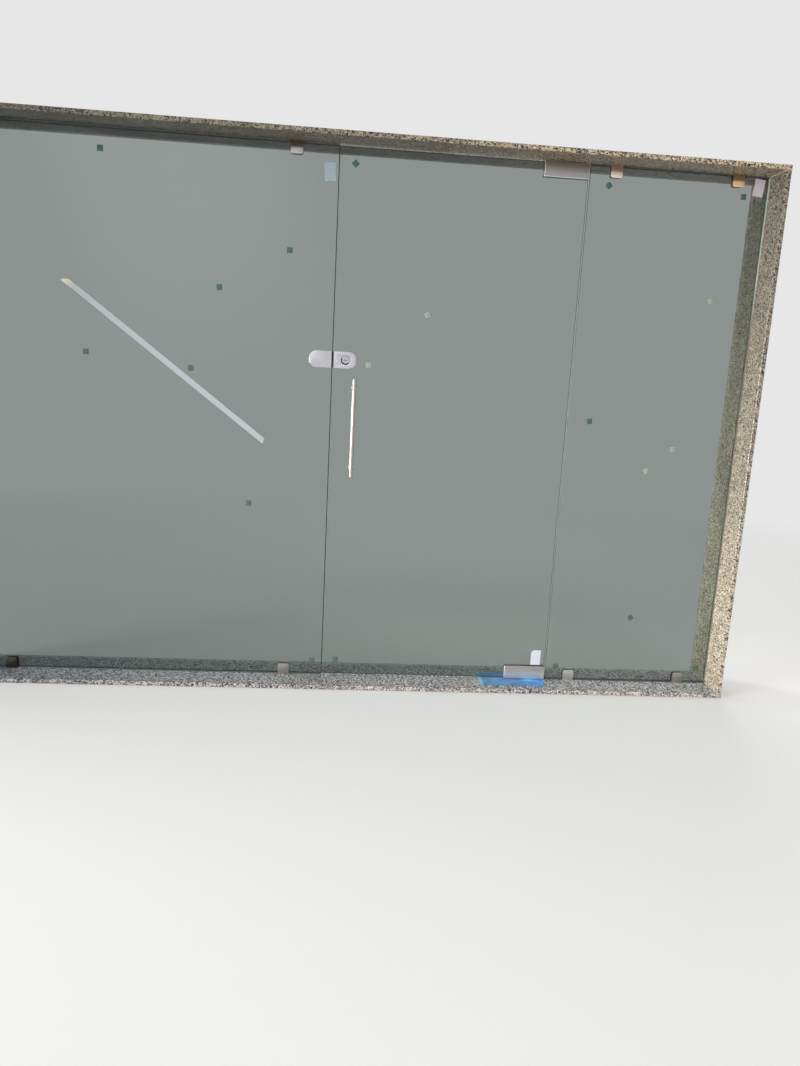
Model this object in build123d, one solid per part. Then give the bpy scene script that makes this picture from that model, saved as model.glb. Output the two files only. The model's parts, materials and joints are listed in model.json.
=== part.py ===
from build123d import *
import math
import os

# Frameless glass shopfront partition in its stone lining.
# Three panes of 12 mm toughened glass stand in one line: a wide fixed pane, a door that turns on
# two patch fittings and a floor spring, and a narrow fixed pane. All sizes are in millimetres.
# X runs along the glass to the right, Y away from the street, Z up. The origin is the middle of
# the sill's underside, on the glass's mid-plane.

# Stone lining
slab_thickness = 18.0
slab_arris = 1.5
opening_height = 2050.0
left_bay = 1395.0
door_bay = 939.0
right_bay = 706.0
front_reveal = 120.0
back_reveal = 138.0

# Glass
glass_thickness = 12.0
glass_arris = 1.0
pane_joint = 4.0
jamb_joint = 4.0
edge_joint = 5.0
door_gap = 5.0
sealant_proud = 1.2
notch_round = 8.0
notch_overrun = 20.0

# Clips that hold the fixed panes at the sill and the soffit
clip_width = 45.0
clip_height = 45.0
clip_wall = 5.0
clip_web = 3.6
clip_corner = 9.0
clip_lining = 1.5
clip_lining_inset = 1.0
left_clip_inset = 155.0
right_clip_inset_at_door = 100.0
right_clip_inset_at_jamb = 122.0
clip_screw_size = 5.0
clip_screw_length = 14.0

# Patch fittings at the door's pivot side
pivot_setback = 65.0
patch_length = 172.0
patch_height = 54.0
patch_edge_inset = 1.0
patch_gasket = 1.5
patch_gasket_inset = 0.5
patch_half_thickness = 8.0
patch_cover_sheet = 1.2
patch_cover_chamfer = 0.8
patch_fit = 0.3
patch_notch_height = 42.0
patch_notch_end = 40.0
patch_bearing_height = 24.0
patch_bearing_thickness = 23.0
patch_bearing_heel_inset = 8.0
patch_bearing_toe = 34.0
patch_screw_size = 8.0
patch_screw_level = 33.0
patch_screws_at_notch = (40.0, -16.0)
patch_screw_through_glass = -76.0
patch_screw_glass_hole = 16.0

# Floor spring under the sill
spring_case_depth = 52.0
spring_case_wall = 1.5
spring_case_heel_gap = 15.0
spring_case_toe_gap = 17.0
spring_case_side_gap = 10.0
spring_case_corner = 6.0
spring_case_clearance = 0.5
spring_body_length = 236.0
spring_body_width = 76.0
spring_body_height = 34.0
spring_body_heel = 46.0
spring_body_corner = 12.0
spring_barrel_diameter = 40.0
spring_boss_diameter = 42.0
spring_boss_drop = 6.0
spring_post_diameter = 12.0
spring_cover_overhang = 6.0
spring_cover_sheet = 1.5
spring_cover_hole = 30.0
spring_cover_corner = 2.0
spring_screw_size = 5.0
spring_screw_length = 12.0
spindle_diameter = 22.0
spindle_depth = 28.0
spindle_head_length = 20.0
spindle_head_width = 12.0
spindle_head_height = 15.0
spindle_head_chamfer = 1.0
spindle_fit = 0.1
running_clearance = 0.05

# Protective film left on the floor spring's cover
film_thickness = 0.4
film_front_overhang = 36.0
film_back_inset = 3.0
film_toe_overhang = 3.0
film_hole = 40.0

# Top pivot in the soffit
pivot_plate_length = 116.0
pivot_plate_width = 26.0
pivot_plate_thickness = 3.0
pivot_boss_diameter = 24.0
pivot_boss_depth = 14.0
pivot_pin_diameter = 14.0
pivot_pin_reach = 20.0
pivot_pin_chamfer = 1.0
pivot_bush_wall = 2.0
pivot_pin_end_clearance = 2.5
pivot_screw_size = 5.0
pivot_screw_length = 13.0
pivot_screw_spacing = 84.0

# Lock case on the door and strike box on the fixed pane
lock_centre_height = 1277.0
lock_length = 88.0
lock_height = 65.0
lock_depth = 16.0
lock_wall = 3.0
lock_corner = 27.0
lock_edge_bevel = 1.5
lock_gasket = 1.0
lock_body_length = 60.0
lock_body_height = 38.0
lock_notch_margin = 3.0
bolt_length = 30.0
bolt_width = 12.0
bolt_height = 20.0
bolt_play = 0.2
bolt_setback = 1.0
bolt_throw = 14.0
bolt_nose_chamfer = 1.0
strike_pocket_clearance = 1.5
strike_pocket_end_clearance = 6.0
key_axis_from_edge = 47.0
cylinder_rose_diameter = 36.0
cylinder_rose_top = 27.0
cylinder_rose_height = 6.0
cylinder_tube_diameter = 24.0
cylinder_tube_fit = 0.1
key_plug_diameter = 18.0
key_plug_proud = 1.0
keyway_length = 12.0
keyway_height = 2.6
keyway_depth = 8.0
turn_rose_diameter = 26.0
turn_rose_height = 3.0
turn_shaft_diameter = 9.0
turn_wing_length = 24.0
turn_wing_width = 6.0
turn_wing_height = 14.0
turn_wing_gap = 0.4
lock_screw_size = 4.0
lock_pillar_diameter = 11.0
lock_screw_glass_hole = 9.0
lock_screw_from_edge = 11.0
lock_screw_rise = 14.5
lock_far_screw_from_edge = 75.0

# Pull handles, one on each face of the door
handle_below_lock = 257.0
handle_from_edge = 84.0
handle_diameter = 16.0
handle_length = 378.0
handle_bolt_spacing = 306.0
handle_axis_from_glass = 50.0
handle_end_chamfer = 1.0
standoff_diameter = 12.0
standoff_flange_diameter = 20.0
standoff_flange_thickness = 4.0
washer_thickness = 1.5
washer_overhang = 1.0
handle_bolt_size = 8.0
handle_bolt_grip = 14.0
handle_bolt_fit = 0.15
handle_glass_hole = 12.0

# Screws
head_to_size = 2.0
countersink_angle = 90.0
hex_to_size = 0.45
hex_depth_to_size = 0.4
screw_clearance = 0.3
thread_clearance = 0.05

# Paper labels, adhesive strip and separator pads, each a thin sheet on the glass
label_thickness = 0.3
label_width = 41.0
label_height = 64.0
label_cut = 9.0
strip_thickness = 0.4
strip_width = 24.5
strip_tip_length = 50.0
strip_tip_round = (13.0, 6.0)
strip_end_slant = 8.0
pad_size = 21.0
pad_thickness = 1.5

# Values worked out from the sizes above
opening_width = left_bay + door_bay + right_bay
left_face_x = -opening_width / 2
right_face_x = opening_width / 2
left_joint_x = left_face_x + left_bay
right_joint_x = left_joint_x + door_bay
sill_top = slab_thickness
soffit = sill_top + opening_height
glass_face = glass_thickness / 2
lining_front = -glass_face - front_reveal
lining_back = glass_face + back_reveal

left_pane_x = (left_face_x + jamb_joint, left_joint_x - pane_joint / 2)
door_x = (left_joint_x + pane_joint / 2, right_joint_x - pane_joint / 2)
right_pane_x = (right_joint_x + pane_joint / 2, right_face_x - jamb_joint)
fixed_z = (sill_top + edge_joint, soffit - edge_joint)
door_z = (sill_top + door_gap, soffit - door_gap)
pivot_x = door_x[1] - pivot_setback
lock_z = sill_top + lock_centre_height
key_x = door_x[0] + key_axis_from_edge
handle_x = door_x[0] + handle_from_edge
handle_z = lock_z - handle_below_lock

case_face = glass_face + lock_gasket
case_outer = case_face + lock_depth
case_inner = case_outer - lock_wall
patch_plate_face = glass_face + patch_gasket
patch_plate_outer = patch_plate_face + patch_half_thickness
patch_cover_outer = patch_plate_outer + patch_cover_sheet
patch_plate_inset = patch_cover_sheet + patch_fit
patch_bearing_heel = pivot_setback - patch_edge_inset - patch_bearing_heel_inset
pivot_bush_length = pivot_pin_reach + pivot_pin_end_clearance - door_gap - patch_plate_inset
patch_heel_x = door_x[1] - patch_edge_inset
patch_toe_x = patch_heel_x - patch_length
spring_body_x = (pivot_x + spring_body_heel - spring_body_length, pivot_x + spring_body_heel)
spring_case_x = (spring_body_x[0] - spring_case_toe_gap, spring_body_x[1] + spring_case_heel_gap)
spring_case_width = spring_body_width + 2 * spring_case_side_gap
spring_cover_x = (spring_case_x[0] - spring_cover_overhang, spring_case_x[1] + spring_cover_overhang)
spring_cover_width = spring_case_width + 2 * spring_cover_overhang
spring_cover_top = sill_top + spring_cover_sheet
spring_body_floor = sill_top - spring_case_depth + spring_case_wall
spring_boss_top = sill_top - spring_boss_drop
strike_pocket_depth = bolt_throw - bolt_setback - pane_joint + strike_pocket_end_clearance
lock_near_screws = ((lock_screw_from_edge, lock_screw_rise), (lock_screw_from_edge, -lock_screw_rise))
lock_screw_places = lock_near_screws + ((lock_far_screw_from_edge, 0.0),)
through_glass = (-glass_thickness, glass_thickness)

# Places on the glass: from a joint or jamb, x; above the sill or below the soffit, z; turn in degrees
pane_label_places = (
    (left_joint_x, -34.0, soffit, -98.0, -2.0),
    (right_face_x, -41.0, soffit, -42.0, -12.0),
)
door_label_place = (right_joint_x, -43.0, sill_top, 96.0, 0.0)
strip_start = (left_joint_x, -1000.0, sill_top, 1518.0)
strip_end = (left_joint_x, -254.0, sill_top, 949.0)
pane_pad_places = (
    (left_joint_x, -859.0, soffit, -75.0, 0.0),
    (left_joint_x, -174.0, sill_top, 1668.0, 0.0),
    (left_joint_x, -432.0, sill_top, 1519.0, 8.0),
    (left_joint_x, -923.0, sill_top, 1257.0, 0.0),
    (left_joint_x, -536.0, sill_top, 1217.0, 5.0),
    (left_joint_x, -310.0, sill_top, 706.0, 0.0),
    (left_joint_x, -42.0, sill_top, 62.0, 0.0),
    (right_joint_x, 78.0, soffit, -73.0, 45.0),
    (right_joint_x, 528.0, sill_top, 1580.0, 20.0),
    (right_joint_x, 90.0, sill_top, 1091.0, 12.0),
    (right_joint_x, 445.0, sill_top, 995.0, 0.0),
    (right_joint_x, 344.0, sill_top, 903.0, 30.0),
    (right_joint_x, 347.0, sill_top, 283.0, 45.0),
    (right_joint_x, 47.0, sill_top, 60.0, 8.0),
    (right_face_x, -98.0, soffit, -78.0, 4.0),
    (right_face_x, -51.0, sill_top, 66.0, 0.0),
)
door_pad_places = (
    (left_joint_x, 59.0, soffit, -63.0, 45.0),
    (left_joint_x, 356.0, sill_top, 1463.0, 25.0),
    (left_joint_x, 138.0, sill_top, 1263.0, 3.0),
    (left_joint_x, 55.0, sill_top, 66.0, 0.0),
)


def block(x, y, z):
    """Box from its low and high ends along each axis."""
    centre = Pos((x[0] + x[1]) / 2, (y[0] + y[1]) / 2, (z[0] + z[1]) / 2)
    return centre * Box(abs(x[1] - x[0]), abs(y[1] - y[0]), abs(z[1] - z[0]))


def rod_y(x, z, diameter, y):
    """Round bar along Y from its near to its far end."""
    place = Pos(x, (y[0] + y[1]) / 2, z) * Rot(90, 0, 0)
    return place * Cylinder(diameter / 2, abs(y[1] - y[0]))


def rod_z(x, y, diameter, z):
    """Upright round bar from its lower to its upper end."""
    return Pos(x, y, (z[0] + z[1]) / 2) * Cylinder(diameter / 2, abs(z[1] - z[0]))


def screw(size, length, head_diameter=0.0):
    """Countersunk screw, head face at the origin and its shank down along -Z."""
    head = head_diameter or size * head_to_size
    head_depth = (head - size) / 2 / math.tan(math.radians(countersink_angle / 2))
    profile = Polyline((0, 0), (head / 2, 0), (size / 2, -head_depth), (size / 2, -length),
                       (0, -length), (0, 0))
    return revolve(Plane.XZ * make_face(profile), Axis.Z)


def socket_screw(size, length):
    """Countersunk screw with a hexagon socket, for heads that show."""
    depth = size * hex_depth_to_size
    return screw(size, length) - Pos(0, 0, -depth) * extrude(RegularPolygon(size * hex_to_size, 6), depth)


def screw_hole(size, length):
    """Clearance hole and countersink for a screw, a little larger than the screw all round."""
    grown = size + 2 * screw_clearance
    head = size * head_to_size + 2 * screw_clearance
    head_depth = (head - grown) / 2 / math.tan(math.radians(countersink_angle / 2))
    profile = Polyline((0, 0), (head / 2, 0), (grown / 2, -head_depth), (grown / 2, -length),
                       (0, -length), (0, 0))
    return revolve(Plane.XZ * make_face(profile), Axis.Z)


def facing_front(x, y, z):
    """Place for a screw driven from the front, along +Y."""
    return Pos(x, y, z) * Rot(90, 0, 0)


def facing_back(x, y, z):
    """Place for a screw driven from the back, along -Y."""
    return Pos(x, y, z) * Rot(-90, 0, 0)


def group(solids):
    """Several separate solids as one node."""
    return Compound(children=list(solids))


def save(shape, name):
    export_step(shape, "parts/" + name + ".step")


# Stone lining

def slab(x, y, z, front_edges_along):
    """Sawn and polished slab with an eased front edge top and bottom."""
    stone = block(x, y, z)
    front = stone.faces().sort_by(Axis.Y)[0]
    eased = front.edges().filter_by(front_edges_along)
    return chamfer(eased, slab_arris)


def make_sill():
    stone = slab((left_face_x - slab_thickness, right_face_x + slab_thickness),
                 (lining_front, lining_back), (0, sill_top), Axis.X)
    half = spring_case_width / 2 + spring_case_clearance
    cut = block((spring_case_x[0] - spring_case_clearance, spring_case_x[1] + spring_case_clearance),
                (-half, half), (-1, sill_top + 1))
    cut = fillet(cut.edges().filter_by(Axis.Z), spring_case_corner + spring_case_clearance)
    stone = stone - cut
    for x in all_clip_places():
        stone = stone - rod_z(x, 0, clip_screw_size, (sill_top + clip_web - clip_screw_length, sill_top + 1))
    return stone


def make_lintel():
    stone = slab((left_face_x - slab_thickness, right_face_x + slab_thickness),
                 (lining_front, lining_back), (soffit, soffit + slab_thickness), Axis.X)
    for x in all_clip_places():
        stone = stone - rod_z(x, 0, clip_screw_size, (soffit - 1, soffit - clip_web + clip_screw_length))
    stone = stone - pivot_plate()
    stone = stone - rod_z(pivot_x, 0, pivot_boss_diameter, (soffit - 1, soffit + pivot_boss_depth))
    for x in pivot_screw_x():
        stone = stone - rod_z(x, 0, pivot_screw_size, (soffit - 1, soffit + pivot_screw_length))
    return stone


def make_jamb(face_x, outward):
    return slab((face_x, face_x + outward * slab_thickness), (lining_front, lining_back),
                (sill_top, soffit), Axis.Z)


# Glass

def polished_pane(x, z):
    """Pane between its ends along X and Z, with a small arris round both faces."""
    pane = block(x, (-glass_face, glass_face), z)
    edges = pane.faces().sort_by(Axis.Y)[0].edges() + pane.faces().sort_by(Axis.Y)[-1].edges()
    return chamfer(edges, glass_arris)


def lock_notch(edge_x, inward):
    """Cut-out at a pane's edge for the lock or strike box."""
    length = lock_body_length + lock_notch_margin
    half = lock_body_height / 2 + lock_notch_margin
    room = block((edge_x - inward * notch_overrun, edge_x + inward * length), through_glass,
                 (lock_z - half, lock_z + half))
    return fillet(room.edges().filter_by(Axis.Y), notch_round)


def patch_notch(z_edge, inward):
    """Cut-out at the door's corner for the clamp's bearing block, open at both edges."""
    room = block((pivot_x - patch_notch_end, door_x[1] + notch_overrun), through_glass,
                 (z_edge - inward * notch_overrun, z_edge + inward * patch_notch_height))
    return fillet(room.edges().filter_by(Axis.Y), notch_round)


def make_left_pane():
    pane = polished_pane(left_pane_x, fixed_z) - lock_notch(left_pane_x[1], -1)
    hole_x = left_pane_x[1] - lock_far_screw_from_edge
    return pane - rod_y(hole_x, lock_z, lock_screw_glass_hole, through_glass)


def make_door_pane():
    pane = polished_pane(door_x, door_z) - lock_notch(door_x[0], 1)
    pane = pane - patch_notch(door_z[0], 1) - patch_notch(door_z[1], -1)
    hole_x = door_x[0] + lock_far_screw_from_edge
    pane = pane - rod_y(hole_x, lock_z, lock_screw_glass_hole, through_glass)
    for z in handle_bolt_z():
        pane = pane - rod_y(handle_x, z, handle_glass_hole, through_glass)
    hole_x = pivot_x + patch_screw_through_glass
    for z in (door_z[0] + patch_screw_level, door_z[1] - patch_screw_level):
        pane = pane - rod_y(hole_x, z, patch_screw_glass_hole, through_glass)
    return pane


def make_right_pane():
    return polished_pane(right_pane_x, fixed_z)


# Clips and sealant of the fixed panes

def left_clip_places():
    return (left_pane_x[0] + left_clip_inset, left_pane_x[1] - left_clip_inset)


def right_clip_places():
    return (right_pane_x[0] + right_clip_inset_at_door, right_pane_x[1] - right_clip_inset_at_jamb)


def all_clip_places():
    return left_clip_places() + right_clip_places()


def clip():
    """One-piece channel clip on the sill at x = 0: two side walls on a web, far corners rounded."""
    inner = glass_face + clip_lining
    outer = inner + clip_wall
    body = block((-clip_width / 2, clip_width / 2), (-outer, outer), (0, clip_height))
    upper = body.edges().filter_by(Axis.Y).group_by(Axis.Z)[-1]
    body = fillet(upper, clip_corner)
    channel = block((-clip_width, clip_width), (-inner, inner), (clip_web, clip_height + 1))
    body = body - channel
    return body - Pos(0, 0, clip_web) * screw_hole(clip_screw_size, clip_web + 1)


def clip_gasket():
    """Rubber lining of one clip: two cheeks and a pad under the glass edge."""
    inner = glass_face + clip_lining
    half = clip_width / 2 - clip_lining_inset
    sheet = block((-half, half), (-inner, inner), (clip_web, clip_height - clip_lining_inset))
    upper = sheet.edges().filter_by(Axis.Y).group_by(Axis.Z)[-1]
    sheet = chamfer(upper, clip_corner - clip_lining_inset)
    return sheet - block((-clip_width, clip_width), (-glass_face, glass_face), (edge_joint, clip_height + 1))


def at_clips(shape, places):
    """Copies of a piece on the sill, and turned over under the soffit."""
    low = [Pos(x, 0, sill_top) * shape for x in places]
    high = [Pos(x, 0, soffit) * Rot(0, 180, 0) * shape for x in places]
    return low + high


def make_clip_screws():
    one = Pos(0, 0, clip_web) * screw(clip_screw_size, clip_screw_length)
    return group(at_clips(one, all_clip_places()))


def make_sealant(pane_x, jamb_x, clip_places):
    """Silicone in the joint along the jamb, the sill and the soffit, stopped at each clip."""
    side = glass_face + sealant_proud
    pane_end = pane_x[1] if jamb_x < pane_x[0] else pane_x[0]
    bead = block((jamb_x, pane_end), (-side, side), (sill_top, soffit))
    core = block(pane_x, (-side - 1, side + 1), fixed_z)
    past_end = pane_end + (pane_end - jamb_x)
    core = core + block((pane_end, past_end), (-side - 1, side + 1), (sill_top - 1, soffit + 1))
    bead = bead - core
    for x in clip_places:
        half = clip_width / 2
        bead = bead - block((x - half, x + half), (-side - 1, side + 1), (sill_top - 1, soffit + 1))
    return group(bead.solids())


# Floor spring

def make_spring_case():
    z = (sill_top - spring_case_depth, sill_top)
    half = spring_case_width / 2
    case = block(spring_case_x, (-half, half), z)
    case = fillet(case.edges().filter_by(Axis.Z), spring_case_corner)
    wall = spring_case_wall
    room = block((spring_case_x[0] + wall, spring_case_x[1] - wall), (-half + wall, half - wall),
                 (z[0] + wall, z[1] + 1))
    room = fillet(room.edges().filter_by(Axis.Z), spring_case_corner - wall)
    return case - room


def spring_post_places():
    return ((spring_body_x[0] + spring_post_diameter, 0), (spring_body_x[1] - spring_post_diameter / 2, 0))


def make_spring_body():
    """Cast closer body: trough, piston barrel, spindle boss and two posts for the cover's screws."""
    half = spring_body_width / 2
    top = spring_body_floor + spring_body_height
    body = block(spring_body_x, (-half, half), (spring_body_floor, top))
    body = fillet(body.edges().filter_by(Axis.Z), spring_body_corner)
    barrel_axis = top - spring_barrel_diameter / 4
    barrel_length = spring_body_length - 2 * spring_body_corner
    barrel = Pos((spring_body_x[0] + spring_body_x[1]) / 2, 0, barrel_axis) * Rot(0, 90, 0)
    body = body + barrel * Cylinder(spring_barrel_diameter / 2, barrel_length)
    body = body + rod_z(pivot_x, 0, spring_boss_diameter, (spring_body_floor, spring_boss_top))
    for x, y in spring_post_places():
        body = body + rod_z(x, y, spring_post_diameter, (spring_body_floor, sill_top))
        body = body - rod_z(x, y, spring_screw_size, (spring_cover_top - spring_screw_length, sill_top + 1))
    bore = spindle_diameter + 2 * running_clearance
    return body - rod_z(pivot_x, 0, bore, (spring_boss_top - spindle_depth, spring_boss_top + 1))


def make_spindle():
    """Closer spindle: round journal below, flat-sided driving head above."""
    shoulder = (spring_cover_top + door_z[0]) / 2
    shaft = rod_z(pivot_x, 0, spindle_diameter, (spring_boss_top - spindle_depth, shoulder))
    half_length = spindle_head_length / 2
    half_width = spindle_head_width / 2
    head = block((pivot_x - half_length, pivot_x + half_length), (-half_width, half_width),
                 (shoulder, door_z[0] + spindle_head_height))
    head = chamfer(head.faces().sort_by(Axis.Z)[-1].edges(), spindle_head_chamfer)
    return shaft + head


def make_spring_cover():
    half = spring_cover_width / 2
    sheet = block(spring_cover_x, (-half, half), (sill_top, spring_cover_top))
    sheet = fillet(sheet.edges().filter_by(Axis.Z), spring_cover_corner)
    sheet = sheet - rod_z(pivot_x, 0, spring_cover_hole, (sill_top - 1, spring_cover_top + 1))
    for x, y in spring_post_places():
        sheet = sheet - Pos(x, y, spring_cover_top) * screw_hole(spring_screw_size, spring_cover_sheet + 1)
    return sheet


def make_spring_screws():
    one = screw(spring_screw_size, spring_screw_length, spring_screw_size + 2 * spring_cover_sheet)
    return group([Pos(x, y, spring_cover_top) * one for x, y in spring_post_places()])


def make_cover_film():
    """Film over the cover plate, lying down on the sill in front of it."""
    half = spring_cover_width / 2
    step = spring_cover_sheet
    lower = [(half - film_back_inset, spring_cover_top), (-half - step, spring_cover_top),
             (-half - 2 * step, sill_top), (-half - film_front_overhang, sill_top)]
    upper = [(y, z + film_thickness) for y, z in reversed(lower)]
    profile = make_face(Plane.YZ * Polyline(*lower, *upper, lower[0]))
    start = spring_cover_x[0] - film_toe_overhang
    film = Pos(start, 0, 0) * extrude(profile, spring_cover_x[1] - start, dir=(1, 0, 0))
    return film - rod_z(pivot_x, 0, film_hole, (sill_top, door_z[0]))


# Patch fittings: each is made for the bottom corner and mirrored for the top

def at_patch(shape, top):
    """The bottom fitting's piece, or its mirror image at the door's top corner."""
    if not top:
        return shape
    return mirror(shape, Plane.XY.offset((door_z[0] + door_z[1]) / 2))


def patch_outline(inset, y):
    """Upright plate of the patch's outline, pulled in by an inset all round."""
    return block((patch_toe_x + inset, patch_heel_x - inset), y,
                 (door_z[0] + inset, door_z[0] + patch_height - inset))


def patch_bearing_block(fit=0.0):
    """The bearing block in the clamp's lower edge, grown by a fit for the pocket that holds it."""
    bottom = door_z[0] + patch_plate_inset
    half = patch_bearing_thickness / 2 + fit
    return block((pivot_x - patch_bearing_toe - fit, pivot_x + patch_bearing_heel + fit), (-half, half),
                 (bottom - fit, bottom + patch_bearing_height + fit))


def patch_screw_places():
    z = door_z[0] + patch_screw_level
    return [(pivot_x + offset, z) for offset in patch_screws_at_notch + (patch_screw_through_glass,)]


def make_patch_half(side, top):
    """Clamp plate with a pocket for the bearing block; the outer one takes the screw heads."""
    plate = patch_outline(patch_plate_inset, (side * patch_plate_face, side * patch_plate_outer))
    plate = plate - patch_bearing_block(spindle_fit)
    for x, z in patch_screw_places():
        if side < 0:
            hole = screw_hole(patch_screw_size, patch_plate_outer)
            plate = plate - facing_front(x, -patch_plate_outer, z) * hole
        else:
            plate = plate - rod_y(x, z, patch_screw_size + 2 * thread_clearance, (0, patch_plate_outer + 1))
    return at_patch(plate, top)


def make_patch_gaskets(top):
    sheets = []
    for side in (-1, 1):
        sheet = patch_outline(patch_gasket_inset, (side * glass_face, side * patch_plate_face))
        sheet = sheet - patch_notch(door_z[0], 1).intersect(sheet)
        sheet = sheet - rod_y(pivot_x + patch_screw_through_glass, door_z[0] + patch_screw_level,
                              patch_screw_glass_hole, through_glass)
        sheets.append(at_patch(sheet, top))
    return group(sheets)


def make_patch_cover(side, top):
    """Folded steel cap that snaps over a clamp plate, with a bevelled face."""
    shell = patch_outline(0, (side * patch_plate_face, side * patch_cover_outer))
    face = shell.faces().sort_by(Axis.Y)[-1 if side > 0 else 0]
    shell = chamfer(face.edges(), patch_cover_chamfer)
    room = patch_outline(patch_cover_sheet, (side * (patch_plate_face - 1), side * patch_plate_outer))
    return at_patch(shell - room, top)


def make_patch_screws(top):
    length = 2 * patch_plate_outer - patch_cover_sheet
    one = screw(patch_screw_size, length)
    placed = [facing_front(x, -patch_plate_outer, z) * one for x, z in patch_screw_places()]
    return group([at_patch(piece, top) for piece in placed])


def make_bottom_arm():
    """Bearing block that the spindle's flat-sided head drives."""
    arm = patch_bearing_block()
    socket_length = spindle_head_length / 2 + spindle_fit
    socket_width = spindle_head_width / 2 + spindle_fit
    return arm - block((pivot_x - socket_length, pivot_x + socket_length), (-socket_width, socket_width),
                       (door_z[0] - 1, door_z[0] + spindle_head_height + spindle_fit))


def bush_diameter():
    return pivot_pin_diameter + 2 * running_clearance + 2 * pivot_bush_wall


def bush_z():
    top = door_z[1] - patch_plate_inset
    return (top - pivot_bush_length, top)


def make_top_socket():
    """Bearing block of the top fitting, bored for the pivot's bush."""
    socket = at_patch(patch_bearing_block(), True)
    return socket - rod_z(pivot_x, 0, bush_diameter(), (bush_z()[0], bush_z()[1] + 1))


def make_top_bush():
    bush = rod_z(pivot_x, 0, bush_diameter(), bush_z())
    bore = pivot_pin_diameter + 2 * running_clearance
    return bush - rod_z(pivot_x, 0, bore, (bush_z()[0] - 1, bush_z()[1] + 1))


# Top pivot

def pivot_screw_x():
    return (pivot_x - pivot_screw_spacing / 2, pivot_x + pivot_screw_spacing / 2)


def pivot_plate():
    """Round-ended plate let in flush with the soffit."""
    plate = extrude(SlotOverall(pivot_plate_length, pivot_plate_width), pivot_plate_thickness)
    return Pos(pivot_x, 0, soffit) * plate


def make_pivot_plate():
    plate = pivot_plate() + rod_z(pivot_x, 0, pivot_boss_diameter, (soffit, soffit + pivot_boss_depth))
    plate = plate - rod_z(pivot_x, 0, pivot_pin_diameter, (soffit - 1, soffit + pivot_boss_depth + 1))
    hole = Rot(180, 0, 0) * screw_hole(pivot_screw_size, pivot_plate_thickness + 1)
    for x in pivot_screw_x():
        plate = plate - Pos(x, 0, soffit) * hole
    return plate


def make_pivot_pin():
    tip = soffit - pivot_pin_reach
    pin = rod_z(pivot_x, 0, pivot_pin_diameter, (tip, soffit + pivot_boss_depth))
    return chamfer(pin.edges().sort_by(Axis.Z)[0], pivot_pin_chamfer)


def make_pivot_screws():
    one = Rot(180, 0, 0) * screw(pivot_screw_size, pivot_screw_length)
    return group([Pos(x, 0, soffit) * one for x in pivot_screw_x()])


# Lock on the door and strike box on the left pane

def case_plan(edge_x, inward, length, height, corner, y):
    """Upright plate with a straight end at the pane's edge and a rounded far end."""
    far_x = edge_x + inward * length
    plate = block((edge_x, far_x), y, (lock_z - height / 2, lock_z + height / 2))
    ends = plate.edges().filter_by(Axis.Y).sort_by(Axis.X)
    far_edges = ends[-2:] if inward > 0 else ends[:2]
    return fillet(far_edges, corner)


def make_case(edge_x, inward, side):
    """Cast half shell, closed on its face and open towards the glass."""
    shell = case_plan(edge_x, inward, lock_length, lock_height, lock_corner,
                      (side * case_face, side * case_outer))
    face = shell.faces().sort_by(Axis.Y)[-1 if side > 0 else 0]
    shell = chamfer(face.edges(), lock_edge_bevel)
    wall = lock_wall
    room = case_plan(edge_x + inward * wall, inward, lock_length - 2 * wall, lock_height - 2 * wall,
                     lock_corner - wall, (side * (case_face - 1), side * case_inner))
    shell = shell - room
    far_x = edge_x + inward * lock_far_screw_from_edge
    shell = shell + rod_y(far_x, lock_z, lock_pillar_diameter, (side * case_face, side * case_inner))
    return shell - body_room(edge_x, inward)


def body_room(edge_x, inward):
    """The space that the lock or strike body takes, open at the pane's edge."""
    return block((edge_x - inward, edge_x + inward * lock_body_length), (-case_inner, case_inner),
                 (lock_z - lock_body_height / 2, lock_z + lock_body_height / 2))


def case_screw_cuts(shell, edge_x, inward, side):
    for offset, rise in lock_screw_places:
        x = edge_x + inward * offset
        if side > 0:
            hole = screw_hole(lock_screw_size, lock_depth + 1)
            shell = shell - facing_back(x, case_outer, lock_z + rise) * hole
        else:
            tapped = lock_screw_size + 2 * thread_clearance
            shell = shell - rod_y(x, lock_z + rise, tapped, (-case_inner - 1, -case_face + 1))
    return shell


def make_lock_outer_case():
    shell = case_screw_cuts(make_case(door_x[0], 1, -1), door_x[0], 1, -1)
    hole = cylinder_tube_diameter + 2 * cylinder_tube_fit
    return shell - rod_y(key_x, lock_z, hole, (-case_outer - 1, -case_face))


def make_lock_inner_case():
    shell = case_screw_cuts(make_case(door_x[0], 1, 1), door_x[0], 1, 1)
    hole = turn_shaft_diameter + 2 * running_clearance
    return shell - rod_y(key_x, lock_z, hole, (case_face, case_outer + 1))


def make_strike_case(side):
    return case_screw_cuts(make_case(left_pane_x[1], -1, side), left_pane_x[1], -1, side)


def make_case_gaskets(edge_x, inward):
    """Thin pads between the glass and the two halves of a case."""
    pads = []
    for side in (-1, 1):
        pad = case_plan(edge_x, inward, lock_length, lock_height, lock_corner,
                        (side * glass_face, side * case_face))
        pad = pad - lock_notch(edge_x, inward)
        far_x = edge_x + inward * lock_far_screw_from_edge
        pad = pad - rod_y(far_x, lock_z, lock_screw_glass_hole, through_glass)
        pads.append(pad)
    return group(pads)


def case_body(edge_x, inward):
    """Block in the pane's cut-out, clamped between the two cases, with its screw holes."""
    half = lock_body_height / 2
    body = block((edge_x, edge_x + inward * lock_body_length), (-case_inner, case_inner),
                 (lock_z - half, lock_z + half))
    hole = lock_screw_size + 2 * screw_clearance
    for offset, rise in lock_near_screws:
        body = body - rod_y(edge_x + inward * offset, lock_z + rise, hole, (-case_outer, case_outer))
    return body


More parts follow.
